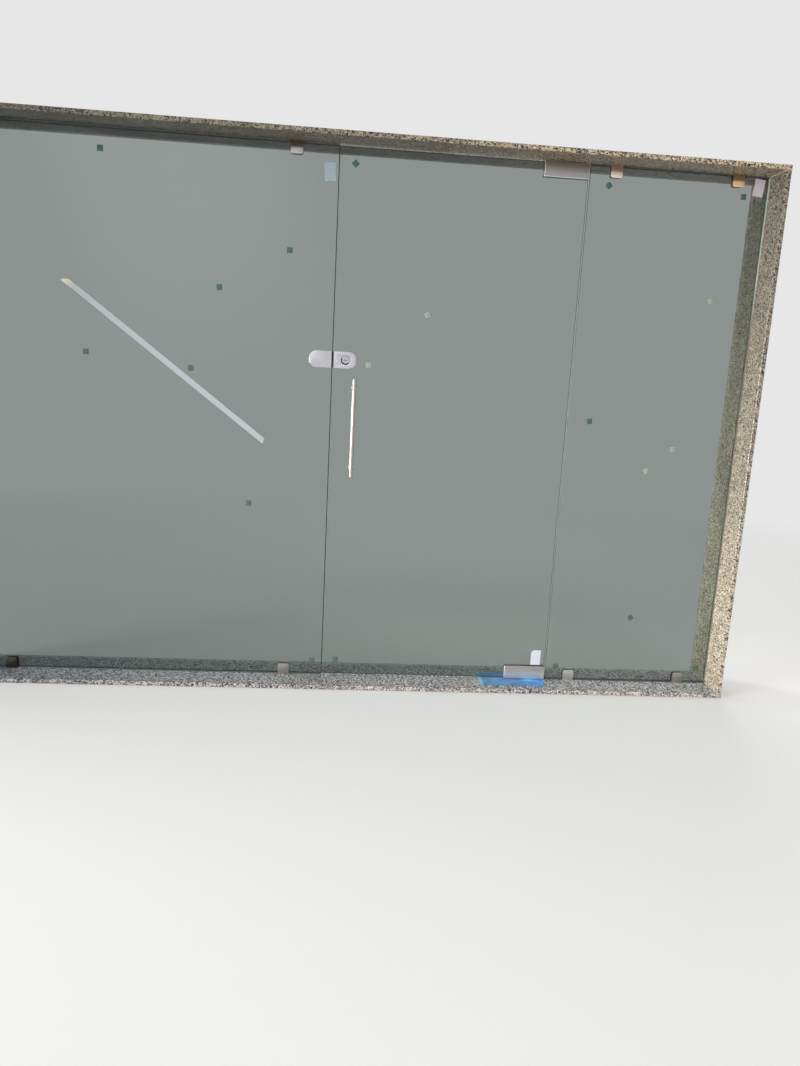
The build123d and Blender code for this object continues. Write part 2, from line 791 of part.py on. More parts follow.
def make_lock_body():
    """Lock body with the bolt's channel and the bores of the cylinder and the thumb turn."""
    body = case_body(door_x[0], 1)
    half_width = bolt_width / 2 + bolt_play
    half_height = bolt_height / 2 + bolt_play
    back = door_x[0] + bolt_setback + bolt_length + bolt_play
    body = body - block((door_x[0] - 1, back), (-half_width, half_width),
                        (lock_z - half_height, lock_z + half_height))
    plug_bore = key_plug_diameter + 2 * running_clearance
    body = body - rod_y(key_x, lock_z, plug_bore, (-case_outer, 0))
    body = body - rod_y(key_x, lock_z, cylinder_tube_diameter + 2 * cylinder_tube_fit,
                        (-case_outer, -case_inner + cylinder_rose_height))
    shaft_bore = turn_shaft_diameter + 2 * running_clearance
    return body - rod_y(key_x, lock_z, shaft_bore, (turn_wing_gap, case_outer))


def make_bolt():
    """Square-headed bolt, its nose bevelled, shown drawn back."""
    half_width = bolt_width / 2
    half_height = bolt_height / 2
    start = door_x[0] + bolt_setback
    bolt = block((start, start + bolt_length), (-half_width, half_width),
                 (lock_z - half_height, lock_z + half_height))
    return chamfer(bolt.faces().sort_by(Axis.X)[0].edges(), bolt_nose_chamfer)


def make_cylinder():
    """Cylinder housing: conical rose in front of the case and a tube down to the body."""
    tube_end = -case_inner + cylinder_rose_height - cylinder_tube_fit
    rose_back = -case_outer
    rose_front = rose_back - cylinder_rose_height
    top, base, tube = cylinder_rose_top / 2, cylinder_rose_diameter / 2, cylinder_tube_diameter / 2
    profile = Polyline((0, rose_front), (top, rose_front), (base, rose_back), (tube, rose_back),
                       (tube, tube_end), (0, tube_end), (0, rose_front))
    housing = Pos(key_x, 0, lock_z) * revolve(make_face(profile), Axis.Y)
    bore = key_plug_diameter + 2 * running_clearance
    return housing - rod_y(key_x, lock_z, bore, (rose_front - 1, tube_end + 1))


def make_key_plug():
    """Turning plug with its keyway, a little proud of the rose."""
    front = -case_outer - cylinder_rose_height - key_plug_proud
    plug = rod_y(key_x, lock_z, key_plug_diameter, (front, -turn_wing_gap))
    half_length = keyway_length / 2
    half_height = keyway_height / 2
    keyway = block((key_x - half_length, key_x + half_length), (front - 1, front + keyway_depth),
                   (lock_z - half_height, lock_z + half_height))
    return plug - keyway


def make_thumb_turn():
    """Turned rose with a flat wing, on a shaft that goes down into the lock body."""
    rose_back = case_outer + turn_wing_gap
    turn = rod_y(key_x, lock_z, turn_shaft_diameter, (2 * turn_wing_gap, rose_back))
    turn = turn + rod_y(key_x, lock_z, turn_rose_diameter, (rose_back, rose_back + turn_rose_height))
    half_width = turn_wing_width / 2
    half_length = turn_wing_length / 2
    wing_front = rose_back + turn_rose_height + turn_wing_height
    wing = block((key_x - half_width, key_x + half_width), (rose_back, wing_front),
                 (lock_z - half_length, lock_z + half_length))
    wing = fillet(wing.edges().filter_by(Axis.X).group_by(Axis.Y)[-1], turn_wing_width / 2)
    return turn + wing


def make_case_screws(edge_x, inward):
    one = socket_screw(lock_screw_size, case_outer + case_inner)
    return group([facing_back(edge_x + inward * offset, case_outer, lock_z + rise) * one
                  for offset, rise in lock_screw_places])


def make_strike_box():
    """Block with the pocket that the bolt enters."""
    body = case_body(left_pane_x[1], -1)
    half_width = bolt_width / 2 + strike_pocket_clearance
    half_height = bolt_height / 2 + strike_pocket_clearance
    return body - block((left_pane_x[1] - strike_pocket_depth, left_pane_x[1] + 1), (-half_width, half_width),
                        (lock_z - half_height, lock_z + half_height))


# Pull handles

def handle_bolt_z():
    return (handle_z - handle_bolt_spacing / 2, handle_z + handle_bolt_spacing / 2)


def make_handle_bar(side):
    """Straight bar with two flanged standoffs, each bored for its through bolt."""
    axis_y = side * (glass_face + handle_axis_from_glass)
    half_length = handle_length / 2
    bar = rod_z(handle_x, axis_y, handle_diameter, (handle_z - half_length, handle_z + half_length))
    bar = chamfer(bar.edges().filter_by(GeomType.CIRCLE), handle_end_chamfer)
    foot = side * (glass_face + washer_thickness)
    flange_face = foot + side * standoff_flange_thickness
    for z in handle_bolt_z():
        bar = bar + rod_y(handle_x, z, standoff_diameter, (axis_y, foot))
        bar = bar + rod_y(handle_x, z, standoff_flange_diameter, (foot, flange_face))
    for z in handle_bolt_z():
        bar = bar - rod_y(handle_x, z, handle_bolt_size, (foot - side, foot + side * handle_bolt_grip))
    return bar


def make_handle_washers():
    washers = []
    hole = handle_bolt_size + 2 * handle_bolt_fit
    for z in handle_bolt_z():
        for side in (-1, 1):
            near = side * glass_face
            far = side * (glass_face + washer_thickness)
            ring = rod_y(handle_x, z, standoff_flange_diameter + 2 * washer_overhang, (near, far))
            washers.append(ring - rod_y(handle_x, z, hole, (near - side, far + side)))
    return group(washers)


def make_handle_bolts():
    reach = glass_face + washer_thickness + handle_bolt_grip
    return group([rod_y(handle_x, z, handle_bolt_size, (-reach, reach)) for z in handle_bolt_z()])


# Labels, strip and pads on the street face of the glass

def on_glass(shape, place):
    """Puts a flat piece drawn in X and Z on the glass's front face at a measured place."""
    from_x, x, from_z, z, turn = place
    return Pos(from_x + x, -glass_face, from_z + z) * Rot(0, -turn, 0) * shape


def sheet_piece(width, height, thickness):
    return block((-width / 2, width / 2), (-thickness, 0), (-height / 2, height / 2))


def make_pane_labels():
    label = sheet_piece(label_width, label_height, label_thickness)
    return group([on_glass(label, place) for place in pane_label_places])


def make_door_label():
    """The lower label, its upper left corner cut off."""
    label = sheet_piece(label_width, label_height, label_thickness)
    corner = label.edges().filter_by(Axis.Y).sort_by(lambda edge: edge.center().X - edge.center().Z)[0]
    return on_glass(chamfer(corner, label_cut), door_label_place)


def make_pads(places):
    pad = sheet_piece(pad_size, pad_size, pad_thickness)
    return group([on_glass(pad, place) for place in places])


def make_strip():
    """Long adhesive strip, slanting down to the right, its loose upper end rounded to a point."""
    run_x = strip_end[0] + strip_end[1] - strip_start[0] - strip_start[1]
    run_z = strip_end[2] + strip_end[3] - strip_start[2] - strip_start[3]
    length = math.hypot(run_x, run_z)
    turn = math.degrees(math.atan2(run_z, run_x))
    half = strip_width / 2
    tip = ThreePointArc((strip_tip_length, half), strip_tip_round, (0, -half))
    sides = Polyline((0, -half), (length, -half), (length - strip_end_slant, half), tip @ 0)
    strip = extrude(Plane.XZ * make_face([tip, sides]), strip_thickness)
    return on_glass(strip, (*strip_start, turn))


def main():
    os.makedirs("parts", exist_ok=True)
    save(make_sill(), "sill")
    save(make_lintel(), "lintel")
    save(make_jamb(left_face_x, -1), "left_jamb")
    save(make_jamb(right_face_x, 1), "right_jamb")

    save(make_left_pane(), "left_pane")
    save(make_door_pane(), "door_pane")
    save(make_right_pane(), "right_pane")
    save(make_sealant(left_pane_x, left_face_x, left_clip_places()), "left_pane_sealant")
    save(make_sealant(right_pane_x, right_face_x, right_clip_places()), "right_pane_sealant")
    save(group(at_clips(clip(), left_clip_places())), "left_pane_clips")
    save(group(at_clips(clip(), right_clip_places())), "right_pane_clips")
    save(group(at_clips(clip_gasket(), all_clip_places())), "clip_gaskets")
    save(make_clip_screws(), "clip_screws")

    save(make_spring_case(), "floor_spring_case")
    save(make_spring_body(), "floor_spring_body")
    save(make_spindle(), "floor_spring_spindle")
    save(make_spring_cover(), "floor_spring_cover")
    save(make_spring_screws(), "floor_spring_screws")
    save(make_cover_film(), "cover_film")

    for name, top in (("bottom", False), ("top", True)):
        save(make_patch_half(-1, top), name + "_patch_outer_half")
        save(make_patch_half(1, top), name + "_patch_inner_half")
        save(make_patch_gaskets(top), name + "_patch_gaskets")
        save(make_patch_cover(-1, top), name + "_patch_outer_cover")
        save(make_patch_cover(1, top), name + "_patch_inner_cover")
        save(make_patch_screws(top), name + "_patch_screws")
    save(make_bottom_arm(), "bottom_patch_arm")
    save(make_top_socket(), "top_patch_socket")
    save(make_top_bush(), "top_patch_bush")
    save(make_pivot_plate(), "top_pivot_plate")
    save(make_pivot_pin(), "top_pivot_pin")
    save(make_pivot_screws(), "top_pivot_screws")

    save(make_lock_outer_case(), "lock_outer_case")
    save(make_lock_inner_case(), "lock_inner_case")
    save(make_case_gaskets(door_x[0], 1), "lock_gaskets")
    save(make_lock_body(), "lock_body")
    save(make_bolt(), "lock_bolt")
    save(make_cylinder(), "lock_cylinder")
    save(make_key_plug(), "lock_key_plug")
    save(make_thumb_turn(), "lock_thumb_turn")
    save(make_case_screws(door_x[0], 1), "lock_screws")
    save(make_strike_case(-1), "strike_outer_case")
    save(make_strike_case(1), "strike_inner_case")
    save(make_case_gaskets(left_pane_x[1], -1), "strike_gaskets")
    save(make_strike_box(), "strike_box")
    save(make_case_screws(left_pane_x[1], -1), "strike_screws")

    save(make_handle_bar(-1), "outer_handle")
    save(make_handle_bar(1), "inner_handle")
    save(make_handle_washers(), "handle_washers")
    save(make_handle_bolts(), "handle_bolts")

    save(make_pane_labels(), "pane_labels")
    save(make_door_label(), "door_label")
    save(make_pads(pane_pad_places), "pane_pads")
    save(make_pads(door_pad_places), "door_pads")
    save(make_strip(), "adhesive_strip")


main()
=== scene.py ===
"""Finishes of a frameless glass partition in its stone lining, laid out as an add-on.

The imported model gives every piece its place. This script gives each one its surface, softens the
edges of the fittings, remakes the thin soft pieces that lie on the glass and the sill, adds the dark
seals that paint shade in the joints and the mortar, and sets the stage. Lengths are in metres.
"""

import json
import math

import bpy
from bpy.props import FloatProperty, FloatVectorProperty, PointerProperty
from mathutils import Matrix, Vector, noise


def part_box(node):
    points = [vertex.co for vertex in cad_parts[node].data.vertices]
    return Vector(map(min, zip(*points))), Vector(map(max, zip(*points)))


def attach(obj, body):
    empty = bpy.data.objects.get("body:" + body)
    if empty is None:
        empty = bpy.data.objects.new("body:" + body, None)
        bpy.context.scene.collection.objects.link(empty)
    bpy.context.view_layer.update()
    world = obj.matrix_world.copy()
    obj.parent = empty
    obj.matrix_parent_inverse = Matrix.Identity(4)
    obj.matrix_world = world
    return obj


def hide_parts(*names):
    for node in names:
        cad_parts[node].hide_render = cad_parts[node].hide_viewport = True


bl_info = {
    "name": "Glass Partition Finishes",
    "version": (1, 0, 0),
    "blender": (4, 5, 0),
    "location": "View3D > Sidebar > Partition",
    "description": "Stone, glass, steel and film finishes of a glass partition",
    "category": "Object",
}

MM = 0.001
WHITE = (1.0, 1.0, 1.0)
X_AXIS = Vector((1.0, 0.0, 0.0))
Y_AXIS = Vector((0.0, 1.0, 0.0))
Z_AXIS = Vector((0.0, 0.0, 1.0))
SAME_PLACE = 0.002 * MM
FLAT = math.radians(0.5)
SHARP_EDGE = math.radians(28.0)
SMOOTH_METAL = math.radians(32.0)
SMOOTH_SHEET = math.radians(40.0)

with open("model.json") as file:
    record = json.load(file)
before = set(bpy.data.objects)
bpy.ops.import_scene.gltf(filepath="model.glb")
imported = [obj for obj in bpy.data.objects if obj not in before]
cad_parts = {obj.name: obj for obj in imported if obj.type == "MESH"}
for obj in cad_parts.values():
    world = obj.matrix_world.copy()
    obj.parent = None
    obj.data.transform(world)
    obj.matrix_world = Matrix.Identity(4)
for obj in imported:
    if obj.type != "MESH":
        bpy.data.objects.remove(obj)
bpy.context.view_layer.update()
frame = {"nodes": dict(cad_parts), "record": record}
NODES = frame["nodes"]
BODY_OF = {node: body for body, nodes in frame["record"]["behaviour"]["bodies"].items() for node in nodes}


def srgb(red, green, blue):
    """A colour given in 0 to 255 display values, as a linear one."""
    linear = []
    for value in (red / 255, green / 255, blue / 255):
        linear.append(value / 12.92 if value <= 0.04045 else ((value + 0.055) / 1.055) ** 2.4)
    return tuple(linear)


# Kinds of setting

def colour(name, description, value):
    return FloatVectorProperty(name=name, description=description, default=value,
                               subtype="COLOR", size=3, min=0.0, max=1.0)


def length(name, description, value):
    return FloatProperty(name=name, description=description, default=value, min=0.0, unit="LENGTH")


def share(name, description, value):
    return FloatProperty(name=name, description=description, default=value, min=0.0, max=1.0,
                         subtype="FACTOR")


def number(name, description, value, low=0.0):
    return FloatProperty(name=name, description=description, default=value, min=low)


def power(name, description, value):
    return FloatProperty(name=name, description=description, default=value, min=0.0, unit="POWER")


def angle(name, description, degrees):
    return FloatProperty(name=name, description=description, default=math.radians(degrees),
                         subtype="ANGLE")


# Settings that a user would change

class PartitionStone(bpy.types.PropertyGroup):
    grain: length("Grain", "Usual width of a crystal in the granite", 3.8 * MM)
    fleck: length("Fleck", "Usual width of a dark mica fleck", 5.0 * MM)
    light: colour("Light crystals", "Feldspar that is nearly white", srgb(222, 216, 205))
    middle: colour("Grey crystals", "Quartz", srgb(146, 142, 136))
    warm: colour("Warm crystals", "Feldspar with a beige tone", srgb(192, 170, 144))
    dark: colour("Dark crystals", "Mica and hornblende", srgb(42, 40, 39))
    sill_tone: colour("Sill tone", "Tone of the sill slab", srgb(226, 233, 248))
    lintel_tone: colour("Lintel tone", "Tone of the lintel slab at its right", srgb(243, 226, 202))
    # Painted shade: the lintel is painted darker towards its left end.
    lintel_shade: colour("Lintel shade", "What is left of that tone at its left end", (0.27, 0.30, 0.32))
    lintel_full: length("Lintel full", "Length at the lintel's right end that has its full tone", 0.3)
    lintel_curve: number("Lintel curve", "How soon the lintel gets darker, 1 for evenly", 1.6)
    jamb_tone: colour("Jamb tone", "Tone of the two jamb slabs", srgb(249, 241, 226))
    # Painted shade: the jambs are painted darker towards the top.
    jamb_painted_shade: share("Jamb fade", "How much darker the jambs are at the top", 0.56)
    jamb_foot: length("Jamb foot", "Height below which the jambs have their full tone", 0.3)
    jamb_curve: number("Jamb curve", "How soon the jambs get darker upwards, 1 for evenly", 1.9)
    sill_gain: number("Sill bleach", "How much paler the sill is at its right end", 1.25, 1.0)
    gain_start: length("Gradient start", "How far from its right end the sill starts to get paler", 1.0)
    gain_full: length("Full bleach", "How far from its right end the sill is palest", 0.5)
    # Painted shade: the sill is painted darker towards its left end.
    sill_shade: colour("Sill shade", "What is left of the sill's tone at its left end", (0.55, 0.645, 0.74))
    sill_shade_reach: length("Sill shade reach", "How far from the left end the sill is shaded", 1.24)
    # Painted light: the stone behind the glass is painted brighter, standing in for the light that reaches
    # it.
    painted_light_indoors: number("Indoors", "How much brighter the stone is behind the glass", 1.3, 1.0)
    jamb_painted_light_indoors: number("Jambs indoors", "The same for the two jambs", 1.4, 1.0)
    sill_grain: number("Sill grain", "How much coarser the sill's stone is", 1.35, 0.1)
    polish: share("Roughness", "Roughness of the polished faces", 0.3)
    sill_polish: share("Sill roughness", "Roughness of the walked-on sill", 0.5)
    dust: colour("Dust", "Pale building dust that has dried on the sill", srgb(206, 194, 176))
    edge_dirt: colour(
        "Edge dirt", "What dirt leaves of the tone at the sill's front edge", (0.86, 0.79, 0.74))
    dirt_reach: length("Dirt reach", "How far back from the front edge that dirt reaches", 16 * MM)
    dirt_full: length("Full dirt", "How far back it is at its thickest", 3 * MM)
    mortar: colour("Mortar", "Pale mortar in the lining's upper corners", srgb(168, 158, 142))
    mortar_width: length("Mortar width", "Width of the mortar in the corners", 4 * MM)


class PartitionGlass(bpy.types.PropertyGroup):
    # Painted shade: the panes let through much less than clear glass would, besides their own green tint.
    face: colour("Face", "What one pane lets through, front to back", (0.295, 0.333, 0.322))
    edge: colour("Edge", "Colour of the ground and polished edges", (0.014, 0.05, 0.036))
    index: number("Index", "Refractive index of float glass", 1.52, 1.0)
    silicone: colour("Silicone", "Pale sealant in the joints", srgb(178, 184, 174))
    silicone_dull: colour("Dull silicone", "Sealant that has gone dark with dirt", srgb(74, 80, 76))
    silicone_grey: colour("Grey silicone", "Sealant at the lower part of the jambs", srgb(126, 122, 110))
    grey_height: length("Grey height", "Height above the sill where it turns from grey to pale", 1.55)
    grey_blend: length("Grey blend", "Half the height over which it turns", 0.1)


class PartitionSteel(bpy.types.PropertyGroup):
    edge: length("Edge", "Radius that brushing leaves on a sharp edge", 0.5 * MM)
    clip_edge: length("Clip edge", "Radius of the clips' outer edges", 1.2 * MM)
    cover: colour("Covers", "Satin steel of the bottom patch and the floor spring's cover",
                  srgb(248, 238, 229))
    # Painted reflection and shade: the patch covers are painted darker towards their upper edge, and the top
    # patch is a darker, shaded copy of the bottom one.
    cover_top: colour("Cover tops", "The bottom patch towards its upper edge", srgb(187, 180, 178))
    upper_cover: colour("Upper covers", "Satin steel of the top patch", srgb(172, 168, 165))
    upper_cover_top: colour("Upper cover tops", "The top patch towards its upper edge", srgb(160, 149, 139))
    # Painted highlight: a bright rim painted along the patch covers' sides and lower edge.
    rim: length("Rim", "Width of the bright worn rim of the patch covers", 2.2 * MM)
    rim_highlight: colour("Rim light", "Bright worn rim of the patch covers", srgb(255, 253, 252))
    lock: colour("Lock", "Bright satin steel of the lock and strike", srgb(208, 206, 212))
    # Painted shade: the rose's cone is painted light at its upper right and dark at its lower left.
    rose: colour("Rose", "Turned side of the lock's rose", srgb(214, 212, 216))
    rose_shade: colour("Darkening", "Darkened lower side of the rose", srgb(10, 10, 12))
    # Painted light and shade: the clips are lit and shaded copies of one steel, and the upper clips' brown
    # and cream halves are a painted reflection.
    clip: colour("Clips", "Satin steel of the glass clips at the sill", srgb(178, 173, 168))
    clip_bright: colour("Bright clip", "The sill clip next to the door", srgb(224, 220, 216))
    clip_dark: colour("Dark clip", "Tone of the wide pane's lower left clip", srgb(76, 73, 64))
    clip_shade: colour("Clip shade", "Browner tone of the upper clips next to the stone", srgb(198, 170, 152))
    clip_light: colour("Clip light", "Cream tone of the upper clips' free ends", srgb(252, 240, 222))
    wide_clip_shade: colour("Wide pane's clip shade", "The same next to the stone", srgb(112, 102, 88))
    wide_clip_light: colour("Wide pane's clip light", "The same at the free end", srgb(187, 185, 180))
    jamb_clip_shade: colour("Jamb's clip shade", "The clip by the jamb next to the stone",
                            srgb(162, 138, 106))
    jamb_clip_light: colour("Jamb's clip light", "The clip by the jamb at its free end", srgb(252, 214, 168))
    handle: colour("Handles", "Bright satin steel of the handles", srgb(184, 177, 169))
    inner: colour("Machined", "Machined and plated inner parts", srgb(132, 132, 134))
    iron: colour("Castings", "Dark cast parts of the floor spring", srgb(58, 60, 62))
    rubber: colour("Rubber", "Gaskets and clip linings", srgb(26, 27, 28))
    # Painted shade: a dark strip filling most of the door's joint.
    seal: colour("Seal", "Seal on the pane's closing edge", srgb(48, 54, 48))
    joint_shade_share: share("Seal width", "Share of the door's joint that the seal fills", 0.8)
    # Painted shade: the lock's and strike's ends that meet are painted black, and black buffers fill the gap
    # between them.
    end_shade: colour("Liner", "Black liner inside the lock and strike", srgb(6, 6, 8))
    end_shade_width: length("Liner width", "How much of the liner shows at their ends", 2.4 * MM)
    nylon: colour("Nylon", "Washers and the pivot's bush", srgb(196, 196, 190))


class PartitionSheets(bpy.types.PropertyGroup):
    film: colour("Film", "Blue protective film", srgb(58, 124, 188))
    film_dull: colour("Dull film", "Dusty film at its left end", srgb(92, 140, 182))
    # Painted shade: the film between its gathers is painted a deeper blue.
    film_gather_shade: colour("Film depths", "Film between the gathers", srgb(14, 104, 214))
    film_clean: colour("Clean film", "Film at its right end", srgb(52, 138, 208))
    film_behind: colour("Film behind", "Film that has stayed clean behind the glass", srgb(20, 160, 250))
    # Painted highlights: the film's folds and gathers are painted lighter.
    film_fold_highlight: colour("Film folds", "Film where it stands off what is under it", srgb(132, 184, 218))
    film_bright: colour("Film gathers", "Film gathered up in front of the patch", srgb(104, 198, 255))
    film_fold: length("Fold", "Width of the film that is folded over at its left edge", 13 * MM)
    film_narrowing: length("Narrowing", "How far the film's right end is pulled in", 8 * MM)
    film_wrinkle: length("Wrinkles", "Height of the film's long wrinkles", 1.5 * MM)
    film_bunch: length("Bunch", "Height of the film bunched up in front of the patch", 2.0 * MM)
    label_crumple: length("Label crumple", "How far the labels stand off the glass", 0.9 * MM)
    wide_label_turn: angle("Wide pane's label", "How far its label has slid round", 6.8)
    narrow_label_turn: angle("Narrow pane's label", "How far its label has slid round", 6.0)
    strip_curl: length("Strip curl", "How far the strip's loose end stands off the glass", 14 * MM)
    strip_loose: length("Loose length", "Length of the strip's loose end", 130 * MM)
    strip_rib: length("Strip ribs", "Distance from one cross rib of the strip to the next", 6 * MM)
    strip_yellowed: length("Yellowed length", "Length of the loose end over which the yellow fades", 50 * MM)
    strip_full: length("Yellow end", "Length of the loose end that is fully yellow", 12 * MM)
    strip_cream: colour("Strip end", "Yellowed adhesive of the loose end", srgb(206, 200, 176))
    strip_edge: colour("Strip edge", "Dark line along the strip's edges", srgb(96, 106, 108))
    paper: colour("Paper", "Blank white label on the door", srgb(194, 196, 204))
    # Painted shade: the two pane labels are painted darker than the door's label.
    paper_dull: colour("Dull paper", "Blank label on the wide pane", srgb(146, 160, 166))
    paper_aged: colour("Aged paper", "Blank label on the narrow pane", srgb(178, 171, 177))
    strip: colour("Strip", "White adhesive strip", srgb(160, 169, 171))
    backed_drop: length("Backed below", "How far under the door's top the pads with backing end", 0.3)
    backed_door: length("Backed above", "Height above the door's foot where those pads begin", 1.0)
    backed_pane: length("Backed above, narrow pane", "The same on the narrow pane", 0.85)
    backed_side: length("Backed beside", "Distance from the door where they begin on that pane", 0.2)
    pad: colour("Dark pads", "Separator pads seen against a light ground", srgb(64, 88, 78))
    pad_pale: colour("Pale pads", "The narrow pane's pads that have kept their backing", srgb(146, 146, 130))
    pad_worn: colour("Worn pads", "The door's pads that have kept their backing", srgb(138, 145, 136))


class PartitionStage(bpy.types.PropertyGroup):
    floor: colour("Floor", "Plain pale floor", srgb(232, 231, 229))
    floor_bounce: colour("Floor bounce", "What the floor throws back on the object", (0.22, 0.215, 0.21))
    backdrop: share("Backdrop", "Brightness of the background, 1 for white", 0.8)
    sheen: number("Sheen", "Brightness of the card that the glass reflects", 0.8)
    clear_radius: length("Clear radius", "Distance at which the floor has gone over into white", 5.2)
    ambient: number("Ambient", "Strength of the light from all round", 0.58)
    key_power: power("Key light", "Power of the large front light", 150.0)
    side_power: power("Side light", "Power of the light at the left", 48.0)
    side_spread: angle("Side spread", "Angle over which the left light spreads", 52.0)
    back_power: power("Back light", "Power of the light above and behind", 110.0)
    inside_power: power("Inside light", "Power of the light behind the glass, on the right jamb", 13.0)
    inside_spread: angle("Inside spread", "Angle over which the inside light spreads", 46.0)
    focal_pixels: number("Focal length", "Focal length in pixels of the photograph", 809.33, 1.0)
    eye: FloatVectorProperty(name="Camera", description="Where the camera stands",
                             default=(-0.1023, -3.1973, 1.2485), subtype="TRANSLATION", unit="LENGTH")
    yaw: angle("Yaw", "Turn to the right", 4.884)
    pitch: angle("Pitch", "Tilt downwards", 10.994)
    roll: angle("Roll", "Tilt of the horizon", 3.085)


SETTINGS = {
    "partition_stone": PartitionStone,
    "partition_glass": PartitionGlass,
    "partition_steel": PartitionSteel,
    "partition_sheets": PartitionSheets,
    "partition_stage": PartitionStage,
}


# Building materials from nodes

class Finish:
    """A procedural material, built by short calls. Every pattern reads the piece's own coordinates."""

    def __init__(self, name):
        self.material = bpy.data.materials.new(name)
        self.material.use_nodes = True
        self.tree = self.material.node_tree
        self.tree.nodes.clear()
        self.output = self.add("ShaderNodeOutputMaterial")
        self.shader = self.add("ShaderNodeBsdfPrincipled")
        self.link(self.shader.outputs["BSDF"], self.output.inputs["Surface"])
        self.coordinates = self.add("ShaderNodeTexCoord")
        self.place = self.coordinates.outputs["Object"]

    def add(self, kind, inputs=None, **settings):
        """A new node with these settings, and with values or links on its inputs."""
        node = self.tree.nodes.new(kind)
        for name, value in settings.items():
            setattr(node, name, value)
        for key, value in (inputs or {}).items():
            self.put(node.inputs[key], value)
        return node

    def link(self, source, target):
        self.tree.links.new(source, target)

    def put(self, socket, value):
        """Sets a socket to a number or colour, or links it to another socket."""
        if isinstance(value, bpy.types.NodeSocket):
            self.link(value, socket)
        elif isinstance(value, (int, float)) or len(socket.default_value) == len(value):
            socket.default_value = value
        else:
            socket.default_value = (*value, 1.0)

    def set(self, **values):
        """Sets the shader's sockets, each named in lower case with underscores."""
        names = {socket.name.lower().replace(" ", "_"): socket for socket in self.shader.inputs}
        for name, value in values.items():
            self.put(names[name], value)

    def math(self, operation, first, second=0.0):
        """Result of arithmetic on one or two numbers."""
        return self.add("ShaderNodeMath", {0: first, 1: second}, operation=operation).outputs[0]

    def vector(self, operation, *values):
        """Result of a vector operation, as a number where the operation gives one."""
        node = self.add("ShaderNodeVectorMath", dict(enumerate(values)), operation=operation)
        return node.outputs["Value" if operation in ("DOT_PRODUCT", "LENGTH") else "Vector"]

    def stretched(self, scale):
        """The piece's coordinates, scaled along each axis."""
        return self.vector("MULTIPLY", self.place, scale)

    def noise(self, scale, detail=3.0, rough=0.5, place=None, output="Fac"):
        """Soft noise, with about this many patches to a metre."""
        node = self.add("ShaderNodeTexNoise", {"Vector": place or self.place, "Scale": scale,
                                               "Detail": detail, "Roughness": rough})
        return node.outputs[output]

    def shaken(self, amount, scale):
        """The piece's coordinates, moved about a little so that cells lose their straight sides."""
        offset = self.noise(scale, 2.0, output="Color")
        return self.vector("MULTIPLY_ADD", offset, (amount, amount, amount), self.place)

    def cells(self, width, place):
        """Two random numbers for each crystal of about this width."""
        node = self.add("ShaderNodeTexVoronoi", {"Vector": place, "Scale": 1.0 / width})
        parts = self.add("ShaderNodeSeparateColor", {0: node.outputs["Color"]})
        return parts.outputs[0], parts.outputs[1]

    def ramp(self, factor, stops, interpolation="LINEAR"):
        """Colours or greys along a factor: pairs of place and colour."""
        node = self.add("ShaderNodeValToRGB", {0: factor})
        band = node.color_ramp
        band.interpolation = interpolation
        while len(band.elements) < len(stops):
            band.elements.new(0.5)
        for element, (place, value) in zip(band.elements, stops):
            element.position = place
            grey = isinstance(value, (int, float))
            element.color = (value, value, value, 1.0) if grey else (*value, 1.0)
        return node.outputs["Color"]

    def mix(self, factor, first, second, blend="MIX"):
        """One colour going over into a second by a factor, or blended with it."""
        inputs = {0: factor, 6: first, 7: second}
        return self.add("ShaderNodeMix", inputs, data_type="RGBA", blend_type=blend).outputs[2]

    def times(self, body, factor):
        """One colour multiplied by another."""
        return self.mix(1.0, body, factor, "MULTIPLY")

    def varied(self, body, factor, dark, light):
        """A colour made darker or lighter along a factor. Each end is a value of it and a level."""
        return self.times(body, self.ramp(factor, (dark, light)))

    def bump(self, height, distance, strength):
        """Roughens the surface by a height, given as a factor of this distance."""
        node = self.add("ShaderNodeBump", {"Strength": strength, "Distance": distance, "Height": height})
        self.link(node.outputs["Normal"], self.shader.inputs["Normal"])

    def measured(self, origin, direction):
        """Distance from a point along a direction."""
        return self.vector("DOT_PRODUCT", self.vector("SUBTRACT", self.place, origin), direction)

    def radius(self, origin, flat):
        """Distance from an axis or plane through a point. Flat is 0 along it and 1 across it."""
        offset = self.vector("SUBTRACT", self.place, origin)
        return self.vector("LENGTH", self.vector("MULTIPLY", offset, flat))

    def between(self, value, low, high):
        """A factor that goes from 0 to 1 as a value goes from low to high."""
        node = self.add("ShaderNodeMapRange", {"Value": value, "From Min": low, "From Max": high})
        return node.outputs["Result"]

    def axis(self, name, output="Object"):
        """One coordinate of the piece, or of its normal."""
        return self.add("ShaderNodeSeparateXYZ", {0: self.coordinates.outputs[output]}).outputs[name]

    def show(self, factor, first, second):
        """Shows one shader going over into another by a factor."""
        both = self.add("ShaderNodeMixShader", {0: factor, 1: first, 2: second})
        self.link(both.outputs["Shader"], self.output.inputs["Surface"])


def dress(material, slot, *names):
    """Puts a finish on CAD nodes."""
    for name in names:
        piece = NODES[name]
        if not piece.material_slots:
            piece.data.materials.append(material)
        for place in piece.material_slots:
            place.material = material


# Finishes

